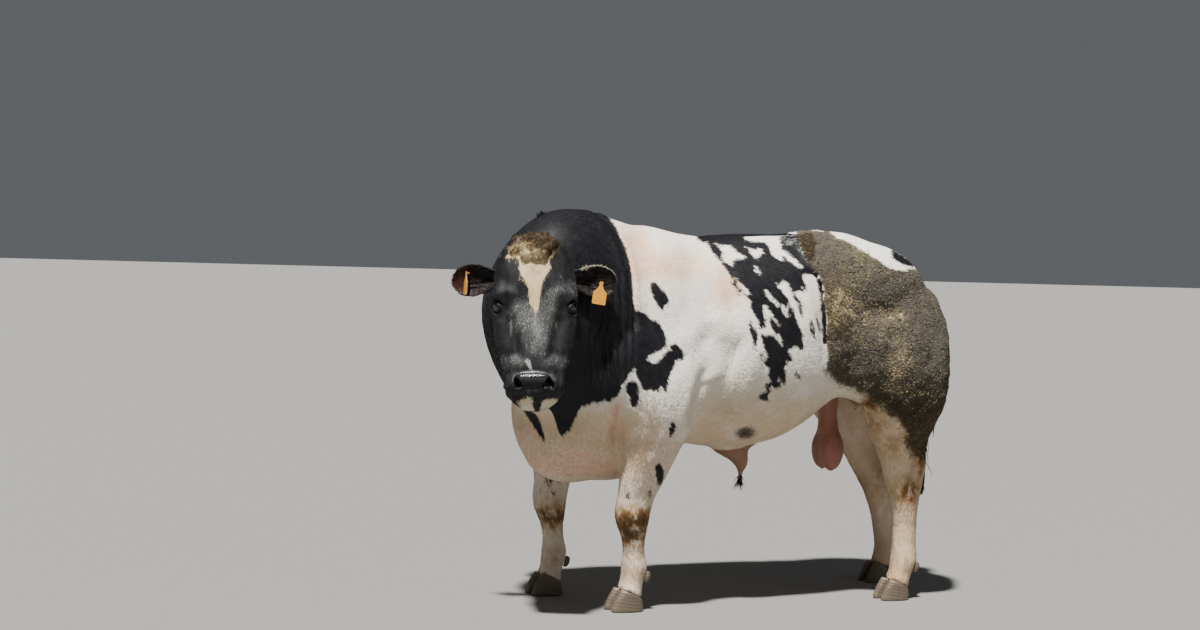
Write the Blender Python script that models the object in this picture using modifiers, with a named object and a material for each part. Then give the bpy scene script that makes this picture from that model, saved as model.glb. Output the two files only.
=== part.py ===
"""A Belgian Blue bull at life size, standing still with its head turned to its left.

Metres, +Z up. The bull faces -X and its left side is towards -Y. The flesh is modelled whole, as swept
sections and muscle masses that a voxel remesh fuses, and is then parted into head, neck, torso and legs
by thin cuts. Ears, eyes, hooves, dewclaws, tail, hair and ear tags are pieces of their own.
"""

import math
import random

import bmesh
import bpy
import numpy as np
from mathutils import Matrix, Vector

# Driving sizes
WITHERS_HEIGHT = 1.44
RUMP_HEIGHT = 1.445
TAIL_HEAD_HEIGHT = 1.375
CHEST_FLOOR = 0.60
BRISKET_BOTTOM = 0.465
CREST_HEIGHT = 1.495
HALF_FORE_STANCE = 0.195
HALF_HIND_STANCE = 0.195
FORE_FOOT_X = {"left": 0.0, "right": -0.15}
HIND_FOOT_X = {"left": 1.18, "right": 1.355}
EYEBALL_RADIUS = 0.020
EAR_LENGTH = 0.172
GAP = 0.0003
WELD = 0.00001

# Surface resolution
VOXEL = 0.008
RING_POINTS = 40
FLESH_TRIANGLES = 7000
HEAD_DETAIL = 2.2
HEAD_REACH = 0.30

UP = Vector((0, 0, 1))
SIDES = {"left": -1, "right": 1}
SEED = 11


# Scene helpers
def clear_scene():
    for obj in list(bpy.data.objects):
        bpy.data.objects.remove(obj, do_unlink=True)


def new_collection(name):
    collection = bpy.data.collections.new(name)
    bpy.context.scene.collection.children.link(collection)
    return collection


def add_object(name, mesh, collection):
    obj = bpy.data.objects.new(name, mesh)
    collection.objects.link(obj)
    return obj


def material(name, colour, roughness=0.6, metallic=0.0):
    made = bpy.data.materials.new(name)
    made.use_nodes = True
    shader = made.node_tree.nodes["Principled BSDF"]
    shader.inputs["Base Color"].default_value = (*colour, 1.0)
    shader.inputs["Roughness"].default_value = roughness
    shader.inputs["Metallic"].default_value = metallic
    return made


def evaluated_mesh(obj):
    graph = bpy.context.evaluated_depsgraph_get()
    return bpy.data.meshes.new_from_object(obj.evaluated_get(graph))


def apply_modifiers(obj):
    mesh = evaluated_mesh(obj)
    obj.modifiers.clear()
    obj.data = mesh
    return obj


def boolean(obj, other, operation, solver="MANIFOLD"):
    """Applies one Boolean to obj and leaves the other object alone."""
    modifier = obj.modifiers.new("cut", "BOOLEAN")
    modifier.operation = operation
    modifier.object = other
    modifier.solver = solver
    return apply_modifiers(obj)


def merge_all(obj, collection, solver="MANIFOLD"):
    """Fuses every object of a collection into obj with one Boolean, and removes them."""
    modifier = obj.modifiers.new("fuse", "BOOLEAN")
    modifier.operation = "UNION"
    modifier.operand_type = "COLLECTION"
    modifier.collection = collection
    modifier.solver = solver
    apply_modifiers(obj)
    remove_collection(collection)
    return largest_surface(obj)


def remove_collection(collection):
    for obj in list(collection.objects):
        bpy.data.objects.remove(obj, do_unlink=True)
    bpy.data.collections.remove(collection)


def inflated(obj, by=GAP):
    """A copy of obj pushed outwards along its normals."""
    copy = add_object(f"{obj.name}_room", obj.data.copy(), obj.users_collection[0])
    count = len(copy.data.vertices)
    where = np.empty(count * 3)
    copy.data.vertices.foreach_get("co", where)
    normals = np.empty(count * 3)
    copy.data.vertex_normals.foreach_get("vector", normals)
    copy.data.vertices.foreach_set("co", where + normals * by)
    copy.data.update()
    return copy


def make_room(obj, *others):
    """Cuts obj back so that it meets each of the others across the gap."""
    for other in others:
        room = inflated(other, GAP * 1.3)
        boolean(obj, room, "DIFFERENCE")
        bpy.data.objects.remove(room, do_unlink=True)
    return largest_surface(obj)


def largest_surface(obj):
    """Keeps the largest closed surface of obj."""
    bm = bmesh.new()
    bm.from_mesh(obj.data)
    bm.verts.ensure_lookup_table()
    seen = set()
    groups = []
    for start in bm.verts:
        if start in seen:
            continue
        group = {start}
        edge_of_search = [start]
        while edge_of_search:
            vertex = edge_of_search.pop()
            for edge in vertex.link_edges:
                other = edge.other_vert(vertex)
                if other not in group:
                    group.add(other)
                    edge_of_search.append(other)
        seen |= group
        groups.append(group)
    keep = max(groups, key=len)
    bmesh.ops.delete(bm, geom=[v for v in bm.verts if v not in keep], context="VERTS")
    bm.to_mesh(obj.data)
    bm.free()
    return obj


def smooth_shaded(obj, angle=50):
    obj.data.shade_smooth()
    obj.data.set_sharp_from_angle(angle=math.radians(angle))
    return obj


# Shapes
def ring(origin, side, up, half, above, below, n_above=2.0, n_below=2.0):
    """A superellipse whose upper and lower halves have their own reach and squareness."""
    points = []
    for k in range(RING_POINTS):
        turn = 2 * math.pi * k / RING_POINTS
        c, s = math.cos(turn), math.sin(turn)
        reach, n = (above, n_above) if s >= 0 else (below, n_below)
        across = half * math.copysign(abs(c) ** (2 / n), c)
        along = reach * math.copysign(abs(s) ** (2 / n), s)
        points.append(origin + side * across + up * along)
    return points


def between(rows, steps):
    """Rows of numbers with smooth in-between rows, by Catmull-Rom."""
    rows = [np.array(r, float) for r in rows]
    padded = [2 * rows[0] - rows[1], *rows, 2 * rows[-1] - rows[-2]]
    out = []
    for a, b, c, d in zip(padded, padded[1:], padded[2:], padded[3:]):
        for k in range(steps):
            t = k / steps
            square = (2 * a - 5 * b + 4 * c - d) * t**2
            cube = (3 * b - a - 3 * c + d) * t**3
            out.append(0.5 * (2 * b + (c - a) * t + square + cube))
    out.append(rows[-1])
    return out


def loft(name, rings, collection):
    """A closed skin over a row of rings."""
    bm = bmesh.new()
    loops = [[bm.verts.new(p) for p in points] for points in rings]
    count = len(loops[0])
    for a, b in zip(loops, loops[1:]):
        for k in range(count):
            bm.faces.new((a[k], a[(k + 1) % count], b[(k + 1) % count], b[k]))
    bm.faces.new(loops[0])
    bm.faces.new(loops[-1])
    bmesh.ops.recalc_face_normals(bm, faces=bm.faces)
    mesh = bpy.data.meshes.new(name)
    bm.to_mesh(mesh)
    bm.free()
    return add_object(name, mesh, collection)


def meshed(obj, place=None):
    """Turns a curve object into a closed mesh with its caps welded, moved by place."""
    mesh = evaluated_mesh(obj)
    name, collection = obj.name, obj.users_collection[0]
    curve = obj.data
    bpy.data.objects.remove(obj, do_unlink=True)
    bpy.data.curves.remove(curve)
    bm = bmesh.new()
    bm.from_mesh(mesh)
    bmesh.ops.remove_doubles(bm, verts=bm.verts, dist=WELD)
    bmesh.ops.recalc_face_normals(bm, faces=bm.faces)
    bm.to_mesh(mesh)
    bm.free()
    if place:
        mesh.transform(place)
    mesh.name = name
    return add_object(name, mesh, collection)


def ellipsoid(name, centre, radii, collection, lean=0.0, turn=0.0, roll=0.0, segments=32):
    """A muscle mass. lean tips its top forwards, turn is about Z, roll tips its top to the right side."""
    bm = bmesh.new()
    bmesh.ops.create_uvsphere(bm, u_segments=segments, v_segments=segments // 2, radius=1.0)
    pose = (
        Matrix.Translation(centre)
        @ Matrix.Rotation(math.radians(turn), 4, "Z")
        @ Matrix.Rotation(math.radians(-lean), 4, "Y")
        @ Matrix.Rotation(math.radians(-roll), 4, "X")
        @ Matrix.Diagonal((*radii, 1.0))
    )
    bmesh.ops.transform(bm, matrix=pose, verts=bm.verts)
    mesh = bpy.data.meshes.new(name)
    bm.to_mesh(mesh)
    bm.free()
    return add_object(name, mesh, collection)


def box(name, low, high, collection, matrix=None):
    bm = bmesh.new()
    bmesh.ops.create_cube(bm, size=1.0)
    low, high = Vector(low), Vector(high)
    size = high - low
    place = Matrix.Translation((low + high) / 2) @ Matrix.Diagonal((*size, 1.0))
    bmesh.ops.transform(bm, matrix=(matrix or Matrix()) @ place, verts=bm.verts)
    mesh = bpy.data.meshes.new(name)
    bm.to_mesh(mesh)
    bm.free()
    return add_object(name, mesh, collection)


# Head frame: u runs down the face from the poll, w out of the face, s to the bull's left
HEAD_YAW = 66.0
HEAD_NOD = 13.0
HEAD_TILT = 2.0
POLL = Vector((-0.513, -0.366, 1.380))


def head_axes():
    yaw, nod, tilt = (math.radians(a) for a in (HEAD_YAW, HEAD_NOD, HEAD_TILT))
    ahead = Vector((-math.cos(yaw), -math.sin(yaw), 0))
    u = (-UP * math.cos(nod) + ahead * math.sin(nod)).normalized()
    w = (ahead * math.cos(nod) + UP * math.sin(nod)).normalized()
    s = UP.cross(ahead).normalized()
    return u * math.cos(tilt) + s * math.sin(tilt), w, s * math.cos(tilt) - u * math.sin(tilt)


HEAD_U, HEAD_W, HEAD_S = head_axes()


def on_head(u, s, w):
    """A point of the head in metres down the face, to the bull's left, and out of the face."""
    return POLL + HEAD_U * u + HEAD_S * s + HEAD_W * w


# Down the face, half width, reach to the front and to the jaw, squareness of front and jaw
HEAD_STATIONS = [
    (-0.020, 0.040, 0.000, 0.060, 2.0, 2.0),
    (0.005, 0.085, 0.030, 0.115, 2.2, 2.0),
    (0.045, 0.116, 0.050, 0.175, 2.4, 2.0),
    (0.090, 0.137, 0.060, 0.225, 2.6, 2.0),
    (0.146, 0.146, 0.064, 0.250, 2.7, 1.9),
    (0.200, 0.150, 0.064, 0.260, 2.7, 1.9),
    (0.245, 0.150, 0.057, 0.260, 2.5, 1.8),
    (0.300, 0.150, 0.052, 0.250, 2.2, 1.8),
    (0.350, 0.145, 0.049, 0.230, 2.0, 1.8),
    (0.400, 0.134, 0.047, 0.200, 2.0, 1.9),
    (0.445, 0.121, 0.047, 0.170, 2.1, 2.0),
    (0.480, 0.110, 0.045, 0.150, 2.3, 2.2),
    (0.520, 0.106, 0.039, 0.140, 2.4, 2.3),
    (0.555, 0.098, 0.022, 0.130, 2.4, 2.3),
    (0.585, 0.076, 0.000, 0.110, 2.2, 2.2),
    (0.600, 0.050, -0.020, 0.088, 2.0, 2.0),
]


def on_face(u, s, out=0.0):
    """The point of the face at u down and s across, lifted by out."""
    rows = np.array(HEAD_STATIONS)
    half = np.interp(u, rows[:, 0], rows[:, 1])
    front = np.interp(u, rows[:, 0], rows[:, 2])
    square = np.interp(u, rows[:, 0], rows[:, 4])
    share = min(0.999, abs(s) / half)
    return on_head(u, s, front * (1 - share**square) ** (1 / square) + out)


# Flesh
def build_trunk(collection):
    # x, top, bottom, half width, height of the widest level, squareness above and below
    stations = [
        (-0.38, 0.84, 0.64, 0.09, 0.74, 2.0, 2.0),
        (-0.33, 0.98, 0.54, 0.18, 0.77, 2.0, 2.0),
        (-0.24, 1.18, 0.48, 0.25, 0.84, 2.0, 2.0),
        (-0.10, 1.35, BRISKET_BOTTOM, 0.30, 0.92, 2.0, 2.0),
        (0.06, WITHERS_HEIGHT, 0.48, 0.335, 1.00, 1.9, 2.2),
        (0.24, 1.412, CHEST_FLOOR, 0.360, 1.00, 2.1, 2.3),
        (0.43, 1.400, 0.590, 0.370, 0.99, 2.3, 2.2),
        (0.64, 1.415, 0.610, 0.360, 0.99, 2.5, 2.1),
        (0.80, 1.433, 0.690, 0.325, 1.02, 2.7, 2.1),
        (0.93, RUMP_HEIGHT, 0.80, 0.30, 1.06, 2.7, 2.2),
        (1.06, 1.412, 0.84, 0.28, 1.09, 2.4, 2.2),
        (1.16, TAIL_HEAD_HEIGHT, 0.88, 0.24, 1.09, 2.2, 2.0),
        (1.25, 1.31, 0.92, 0.17, 1.09, 2.0, 2.0),
        (1.30, 1.23, 1.00, 0.09, 1.09, 2.0, 2.0),
    ]
    rings = []
    for x, top, bottom, half, wide, n_up, n_low in between(stations, 4):
        origin = Vector((x, 0, wide))
        rings.append(ring(origin, Vector((0, 1, 0)), UP, half, top - wide, wide - bottom, n_up, n_low))
    return loft("trunk", rings, collection)


def build_neck(collection):
    # x, y, heading to the left in degrees, top, bottom, half width, height of the widest level, squareness
    stations = [
        (0.14, 0.00, 0, 1.41, 0.72, 0.270, 1.08, 2.0),
        (-0.02, -0.02, 15, 1.45, 0.60, 0.285, 1.08, 2.0),
        (-0.17, -0.062, 34, 1.48, 0.58, 0.300, 1.09, 1.95),
        (-0.295, -0.145, 50, CREST_HEIGHT, 0.68, 0.300, 1.11, 1.8),
        (-0.385, -0.245, 60, 1.450, 0.82, 0.238, 1.12, 1.7),
        (-0.430, -0.315, HEAD_YAW, 1.36, 0.95, 0.150, 1.14, 1.8),
    ]
    rings = []
    for x, y, heading, top, bottom, half, wide, square in between(stations, 4):
        turn = math.radians(heading)
        right = Vector((-math.sin(turn), math.cos(turn), 0))
        rings.append(ring(Vector((x, y, wide)), right, UP, half, top - wide, wide - bottom, square, 1.8))
    return loft("neck_form", rings, collection)


def build_head(collection):
    rings = []
    for u, half, front, back, n_front, n_back in between(HEAD_STATIONS, 3):
        rings.append(ring(on_head(u, 0, 0), HEAD_S, HEAD_W, half, front, back, n_front, n_back))
    loft("head_form", rings, collection)
    turn = Matrix((HEAD_S, HEAD_U, -HEAD_W)).transposed().to_4x4()
    # name, middle down the face, aside and outwards, reach down, aside and outwards
    masses = [
        ("brow", (0.200, 0.116, 0.014), (0.050, 0.038, 0.036)),
        ("cheekbone", (0.285, 0.108, 0.000), (0.060, 0.032, 0.036)),
        ("jaw", (0.245, 0.092, -0.130), (0.130, 0.062, 0.105)),
        ("nostril_wing", (0.520, 0.060, 0.020), (0.038, 0.040, 0.034)),
        ("upper_lip", (0.515, 0.062, -0.030), (0.050, 0.050, 0.055)),
    ]
    for name, (u, s, w), (ru, rs, rw) in masses:
        for sign in (1, -1):
            pose = Matrix.Translation(on_head(u, sign * s, w)) @ turn @ Matrix.Diagonal((rs, ru, rw, 1.0))
            posed_ball(name, pose, collection)
    middle = [
        ("nose_pad", (0.516, 0.0, 0.006), (0.062, 0.070, 0.044)),
        ("chin", (0.572, 0.0, -0.055), (0.042, 0.068, 0.052)),
        ("forehead", (0.100, 0.0, 0.020), (0.100, 0.100, 0.050)),
        ("poll", (0.018, 0.0, -0.020), (0.045, 0.080, 0.060)),
    ]
    for name, (u, s, w), (ru, rs, rw) in middle:
        pose = Matrix.Translation(on_head(u, s, w)) @ turn @ Matrix.Diagonal((rs, ru, rw, 1.0))
        posed_ball(name, pose, collection)


def build_foreleg(side, collection):
    sign = SIDES[side]
    foot = Vector((FORE_FOOT_X[side], sign * HALF_FORE_STANCE, 0))
    # height, offset back and out from the foot, reach to front and back, half width
    stations = [
        (0.040, 0.004, 0.000, 0.046, 0.050, 0.056),
        (0.075, 0.008, 0.000, 0.045, 0.048, 0.055),
        (0.110, 0.016, 0.000, 0.042, 0.045, 0.048),
        (0.165, 0.024, 0.000, 0.047, 0.052, 0.052),
        (0.215, 0.020, 0.002, 0.041, 0.043, 0.043),
        (0.270, 0.014, 0.006, 0.044, 0.045, 0.046),
        (0.335, 0.006, 0.010, 0.064, 0.060, 0.063),
        (0.380, 0.006, 0.013, 0.070, 0.064, 0.067),
        (0.430, 0.012, 0.018, 0.070, 0.072, 0.065),
        (0.500, 0.024, 0.030, 0.082, 0.092, 0.076),
        (0.600, 0.040, 0.048, 0.104, 0.114, 0.094),
        (0.700, 0.048, 0.068, 0.140, 0.142, 0.118),
        (0.820, 0.040, 0.078, 0.175, 0.175, 0.130),
        (0.950, 0.030, 0.064, 0.185, 0.170, 0.125),
        (1.080, 0.040, 0.030, 0.160, 0.150, 0.110),
    ]
    rings = []
    for z, back, out, front, rear, half in between(stations, 3):
        origin = foot + Vector((back, sign * out, z))
        rings.append(ring(origin, Vector((0, 1, 0)), Vector((-1, 0, 0)), half, front, rear, 2.2, 2.2))
    return loft(f"foreleg_form_{side}", rings, collection)


def build_hindleg(side, collection):
    sign = SIDES[side]
    foot = Vector((HIND_FOOT_X[side], sign * HALF_HIND_STANCE, 0))
    # height, offset back and out from the foot, reach to front and back, half width
    stations = [
        (0.040, 0.006, 0.000, 0.048, 0.050, 0.054),
        (0.075, 0.014, 0.000, 0.046, 0.048, 0.053),
        (0.110, 0.026, 0.000, 0.044, 0.047, 0.048),
        (0.155, 0.038, 0.000, 0.050, 0.056, 0.053),
        (0.215, 0.036, 0.000, 0.046, 0.052, 0.045),
        (0.300, 0.034, 0.000, 0.046, 0.052, 0.045),
        (0.380, 0.030, 0.002, 0.056, 0.058, 0.052),
        (0.450, 0.020, 0.004, 0.074, 0.076, 0.060),
        (0.505, 0.012, 0.008, 0.088, 0.094, 0.062),
        (0.545, 0.002, 0.012, 0.094, 0.106, 0.062),
        (0.590, -0.010, 0.020, 0.106, 0.104, 0.072),
        (0.650, -0.024, 0.032, 0.130, 0.112, 0.092),
        (0.720, -0.032, 0.046, 0.155, 0.142, 0.118),
        (0.800, -0.036, 0.056, 0.180, 0.172, 0.145),
        (0.920, -0.050, 0.058, 0.215, 0.195, 0.160),
        (1.050, -0.070, 0.043, 0.215, 0.205, 0.150),
        (1.180, -0.090, 0.020, 0.170, 0.170, 0.110),
    ]
    shift = HIND_FOOT_X["left"] - HIND_FOOT_X[side]
    rings = []
    for z, back, out, front, rear, half in between(stations, 3):
        lean = min(1.0, max(0.0, (z - 0.15) / 0.70))
        origin = foot + Vector((back + shift * lean, sign * out, z))
        rings.append(ring(origin, Vector((0, 1, 0)), Vector((-1, 0, 0)), half, front, rear, 2.2, 2.2))
    return loft(f"hindleg_form_{side}", rings, collection)


def build_muscles(collection):
    """Muscle masses of the double-muscled breed, mirrored, with the forelimb's moved with its foot."""
    for side, sign in SIDES.items():
        fore = Vector((0.7 * FORE_FOOT_X[side], 0, 0))
        # middle, reach along, aside and up, then lean, turn and roll
        masses = {
            "shoulder_blade": ((0.05, 0.215, 1.13), (0.20, 0.130, 0.29), -16, 0, 14),
            "triceps": ((0.12, 0.265, 0.92), (0.22, 0.130, 0.21), 20, 0, 5),
            "shoulder_point": ((-0.07, 0.255, 0.92), (0.19, 0.135, 0.23), 0, 0, 0),
        }
        for name, (centre, radii, lean, turn, roll) in masses.items():
            place = Vector((centre[0], sign * centre[1], centre[2])) + fore
            ellipsoid(f"{name}_{side}", place, radii, collection, lean, sign * turn, -sign * roll)
        masses = {
            "loin": ((0.66, 0.115, 1.33), (0.46, 0.11, 0.09), 0, 0, 0),
            "rump": ((0.98, 0.165, 1.21), (0.27, 0.16, 0.20), 0, 8, 12),
            "outer_thigh": ((1.09, 0.215, 1.01), (0.25, 0.170, 0.26), -12, 0, 6),
            "rear_thigh": ((1.215, 0.175, 0.98), (0.150, 0.160, 0.27), -5, 0, 4),
            "stifle": ((0.96, 0.215, 0.92), (0.14, 0.110, 0.14), 20, 0, 0),
            "rib": ((0.38, 0.175, 0.98), (0.40, 0.205, 0.33), 0, 0, 0),
        }
        for name, (centre, radii, lean, turn, roll) in masses.items():
            place = (centre[0], sign * centre[1], centre[2])
            ellipsoid(f"{name}_{side}", place, radii, collection, lean, sign * turn, -sign * roll)
    ellipsoid("brisket", (-0.15, -0.01, 0.61), (0.21, 0.15, 0.15), collection, 8)
    ellipsoid("crest", (-0.20, -0.11, 1.365), (0.22, 0.12, 0.13), collection, 0, 40)


def fuse(collection, name, target, voxel=VOXEL):
    """Joins every form of a collection into one closed skin with a voxel remesh."""
    forms = list(collection.objects)
    with bpy.context.temp_override(active_object=forms[0], selected_editable_objects=forms):
        bpy.ops.object.join()
    whole = forms[0]
    remesh = whole.modifiers.new("fuse", "REMESH")
    remesh.mode = "VOXEL"
    remesh.voxel_size = voxel
    mesh = evaluated_mesh(whole)
    bpy.data.objects.remove(whole, do_unlink=True)
    return add_object(name, mesh, target)


def blend(obj, rounds, group=""):
    smooth = obj.modifiers.new("blend", "SMOOTH")
    smooth.iterations = rounds
    smooth.factor = 0.5
    smooth.vertex_group = group
    return apply_modifiers(obj)


def vertices_of(mesh):
    where = np.empty(len(mesh.vertices) * 3)
    mesh.vertices.foreach_get("co", where)
    return where.reshape(-1, 3)


def trunk_group(obj):
    """Marks the trunk and neck, where muscles flow into each other more softly than in head and legs."""
    where = vertices_of(obj.data)
    legs = np.clip((where[:, 2] - 0.66) / 0.14, 0, 1)
    head = np.clip((np.linalg.norm(where - np.array(on_head(0.27, 0, -0.06)), axis=1) - 0.33) / 0.10, 0, 1)
    weight = legs * head
    group = obj.vertex_groups.new(name="trunk")
    for step in range(1, 11):
        share = step / 10
        chosen = np.nonzero(np.abs(weight - share) <= 0.05)[0]
        group.add([int(i) for i in chosen], share, "REPLACE")


# Grooves between muscles as lines in side view: which limb they move with, points in x and z, width, depth
SIDE_GROOVES = [
    ("fore", [(0.22, 1.26), (0.225, 1.10), (0.19, 0.98), (0.18, 0.85), (0.17, 0.72)], 0.040, 0.014),
    ("fore", [(-0.08, 1.16), (-0.02, 1.03), (-0.01, 0.90)], 0.035, 0.006),
    ("hind", [(0.69, 1.32), (0.70, 1.18), (0.73, 1.02), (0.77, 0.88)], 0.034, 0.015),
    ("hind", [(1.10, 1.20), (1.18, 1.05), (1.19, 0.90), (1.15, 0.76)], 0.034, 0.011),
    ("hind", [(0.86, 1.19), (0.97, 1.13), (1.08, 1.17), (1.17, 1.26)], 0.036, 0.009),
]


def line_distance(points, path):
    """Distance of each point to a polyline and how far along the line its nearest point lies."""
    best = np.full(len(points), 1e9)
    along = np.zeros(len(points))
    done = 0.0
    total = sum(np.linalg.norm(np.subtract(b, a)) for a, b in zip(path, path[1:]))
    for a, b in zip(path, path[1:]):
        a, b = np.array(a, float), np.array(b, float)
        step = b - a
        length = np.linalg.norm(step)
        share = np.clip((points - a) @ step / length**2, 0, 1)
        apart = np.linalg.norm(points - (a + share[:, None] * step), axis=1)
        nearer = apart < best
        best[nearer] = apart[nearer]
        along[nearer] = (done + share[nearer] * length) / total
        done += length
    return best, along


def press_grooves(obj):
    where = vertices_of(obj.data)
    normals = np.empty(len(where) * 3)
    obj.data.vertex_normals.foreach_get("vector", normals)
    normals = normals.reshape(-1, 3)
    push = np.zeros(len(where))
    for limb, path, width, depth in SIDE_GROOVES:
        for name, sign in SIDES.items():
            moved = 0.7 * FORE_FOOT_X[name] if limb == "fore" else 0.0
            apart, along = line_distance(where[:, [0, 2]], [(x + moved, z) for x, z in path])
            fade = np.clip(np.minimum(along, 1 - along) / 0.2, 0, 1)
            mine = sign * where[:, 1] > 0.06
            push -= mine * fade * depth * np.exp(-((apart / width) ** 2))
    spine, along = line_distance(where, [(0.30, 0, 1.40), (0.70, 0, 1.42), (1.00, 0, 1.43), (1.16, 0, 1.40)])
    push -= 0.012 * np.clip(np.minimum(along, 1 - along) / 0.2, 0, 1) * np.exp(-((spine / 0.035) ** 2))
    cleft, along = line_distance(where, [(1.27, 0, 1.25), (1.31, 0, 1.10), (1.31, 0, 0.92), (1.28, 0, 0.82)])
    push -= 0.030 * np.clip((1 - along) / 0.2, 0, 1) * np.exp(-((cleft / 0.045) ** 2))
    where += normals * push[:, None]
    obj.data.vertices.foreach_set("co", where.ravel())
    obj.data.update()
    return obj


def head_warp(where, inverse=False):
    """Enlarges the space around the head, so that thinning keeps finer faces there, or takes it back."""
    centre = np.array(on_head(0.27, 0, -0.05))
    away = where - centre
    reach = np.linalg.norm(away, axis=1)
    if inverse:
        inner = reach / HEAD_DETAIL
        outer = reach - (HEAD_DETAIL - 1) * HEAD_REACH
        new = np.where(inner < HEAD_REACH, inner, outer)
    else:
        new = np.where(reach < HEAD_REACH, reach * HEAD_DETAIL, reach + (HEAD_DETAIL - 1) * HEAD_REACH)
    return centre + away * (new / np.maximum(reach, 1e-9))[:, None]


def thin_out(obj, triangles, warp=None):
    if warp:
        obj.data.vertices.foreach_set("co", warp(vertices_of(obj.data)).ravel())
        obj.data.update()
    obj.data.calc_loop_triangles()
    decimate = obj.modifiers.new("thin", "DECIMATE")
    decimate.ratio = triangles / len(obj.data.loop_triangles)
    apply_modifiers(obj)
    if warp:
        obj.data.vertices.foreach_set("co", warp(vertices_of(obj.data), inverse=True).ravel())
        obj.data.update()
    return obj


# Parting the flesh
FORE_CUT_HEIGHT = 0.64
FORE_CUT_INSIDE = 0.125
FORE_REGION_REACH = 0.30
HIND_CUT_HEIGHT = 0.76
HIND_CUT_INSIDE = 0.02
HIND_REGION = (0.80, 1.70)
LEG_REGION_WIDTH = 0.60
BELOW_FLOOR = -0.1


def prism(name, outline, axis, low, high, collection):
    """A flat outline square to axis, extruded from low to high along it."""
    across = (outline[1] - outline[0]).normalized()
    turn = Matrix((across, axis.cross(across), axis)).transposed()
    curve = bpy.data.curves.new(name, "CURVE")
    curve.dimensions = "2D"
    curve.fill_mode = "BOTH"
    curve.extrude = (high - low) / 2
    spline = curve.splines.new("POLY")
    spline.points.add(len(outline) - 1)
    for point, corner in zip(spline.points, outline):
        flat = turn.transposed() @ (corner - outline[0])
        point.co = (flat.x, flat.y, 0, 1)
    spline.use_cyclic_u = True
    middle = outline[0] + axis * ((low + high) / 2)
    return meshed(add_object(name, curve, collection), Matrix.Translation(middle) @ turn.to_4x4())


# The head's share of the flesh in side view: down the face and outwards from it
HEAD_OUTLINE = [(-0.18, -0.030), (0.31, -0.275), (0.66, -0.200), (0.72, 0.400), (-0.25, 0.400)]


def widened(outline, room):
    """A convex outline, listed clockwise, with every edge moved outwards by room."""
    corners = [Vector(c) for c in outline]
    out = []
    for k, here in enumerate(corners):
        before = (here - corners[k - 1]).normalized()
        after = (corners[(k + 1) % len(corners)] - here).normalized()
        a, b = Vector((before.y, -before.x)), Vector((after.y, -after.x))
        out.append(here + (a + b) * (room / (1 + a.dot(b))))
    return out


def head_region(name, room, collection):
    outline = [on_head(c.x, 0, c.y) for c in widened(HEAD_OUTLINE, room)]
    return prism(name, outline, HEAD_S, -0.34 - room, 0.34 + room, collection)


def neck_region(name, room, collection):
    facing = Vector((-0.80, -0.30, 0.52)).normalized()
    origin = Vector((-0.08, 0, 1.15)) - facing * room
    across = facing.cross(UP).normalized()
    rise = across.cross(facing).normalized()
    corners = ((-0.9, -0.75), (0.9, -0.75), (0.9, 0.75), (-0.9, 0.75))
    outline = [origin + across * a + rise * b for a, b in corners]
    return prism(name, outline, facing, 0.0, 1.2, collection)


def leg_region(x_range, side, inside, height):
    """A box around one leg, from inside to the flank and up to height, as a region that can be widened."""
    near, far = sorted((SIDES[side] * inside, SIDES[side] * LEG_REGION_WIDTH))

    def region(name, room, collection):
        margin = Vector((room, room, room))
        low = Vector((x_range[0], near, BELOW_FLOOR))
        high = Vector((x_range[1], far, height))
        return box(name, low - margin, high + margin, collection)

    return region


def part_off(rest, name, region, target):
    """Moves the part of rest inside a region to a new object, leaving the gap between them."""
    bench = rest.users_collection[0]
    piece = add_object(name, rest.data.copy(), target)
    inner = region(f"{name}_inner", 0.0, bench)
    outer = region(f"{name}_outer", GAP, bench)
    boolean(piece, inner, "INTERSECT")
    boolean(rest, outer, "DIFFERENCE")
    for cutter in (inner, outer):
        bpy.data.objects.remove(cutter, do_unlink=True)
    largest_surface(piece)
    largest_surface(rest)
    return piece


def part_flesh(whole, target):
    parts = {}
    parts["head"] = part_off(whole, "head", head_region, target)
    parts["neck"] = part_off(whole, "neck", neck_region, target)
    for side in SIDES:
        x = FORE_FOOT_X[side]
        around = (x - FORE_REGION_REACH, x + FORE_REGION_REACH)
        region = leg_region(around, side, FORE_CUT_INSIDE, FORE_CUT_HEIGHT)
        parts[f"foreleg_{side}"] = part_off(whole, f"foreleg_{side}", region, target)
        region = leg_region(HIND_REGION, side, HIND_CUT_INSIDE, HIND_CUT_HEIGHT)
        parts[f"hindleg_{side}"] = part_off(whole, f"hindleg_{side}", region, target)
    whole.name = "torso"
    parts["torso"] = whole
    return parts


# Feet
CORONET_FRONT = 0.084
CORONET_SLOPE = -0.42
CORONET_TOE = 0.034


def coronet_height(x):
    """Height of the claws' upper edge at x behind the middle of the foot."""
    return CORONET_FRONT + CORONET_SLOPE * (x + CORONET_TOE)


def foot_cutter(name, foot, room, collection):
    """Everything under the coronet plane, raised by room."""
    outline = []
    for x, z in ((-0.16, -0.05), (0.16, -0.05), (0.16, coronet_height(0.16)), (-0.16, coronet_height(-0.16))):
        outline.append(foot + Vector((x, 0, z + (room if z > -0.05 else 0))))
    return prism(name, outline, Vector((0, 1, 0)), -0.12, 0.12, collection)


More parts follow.
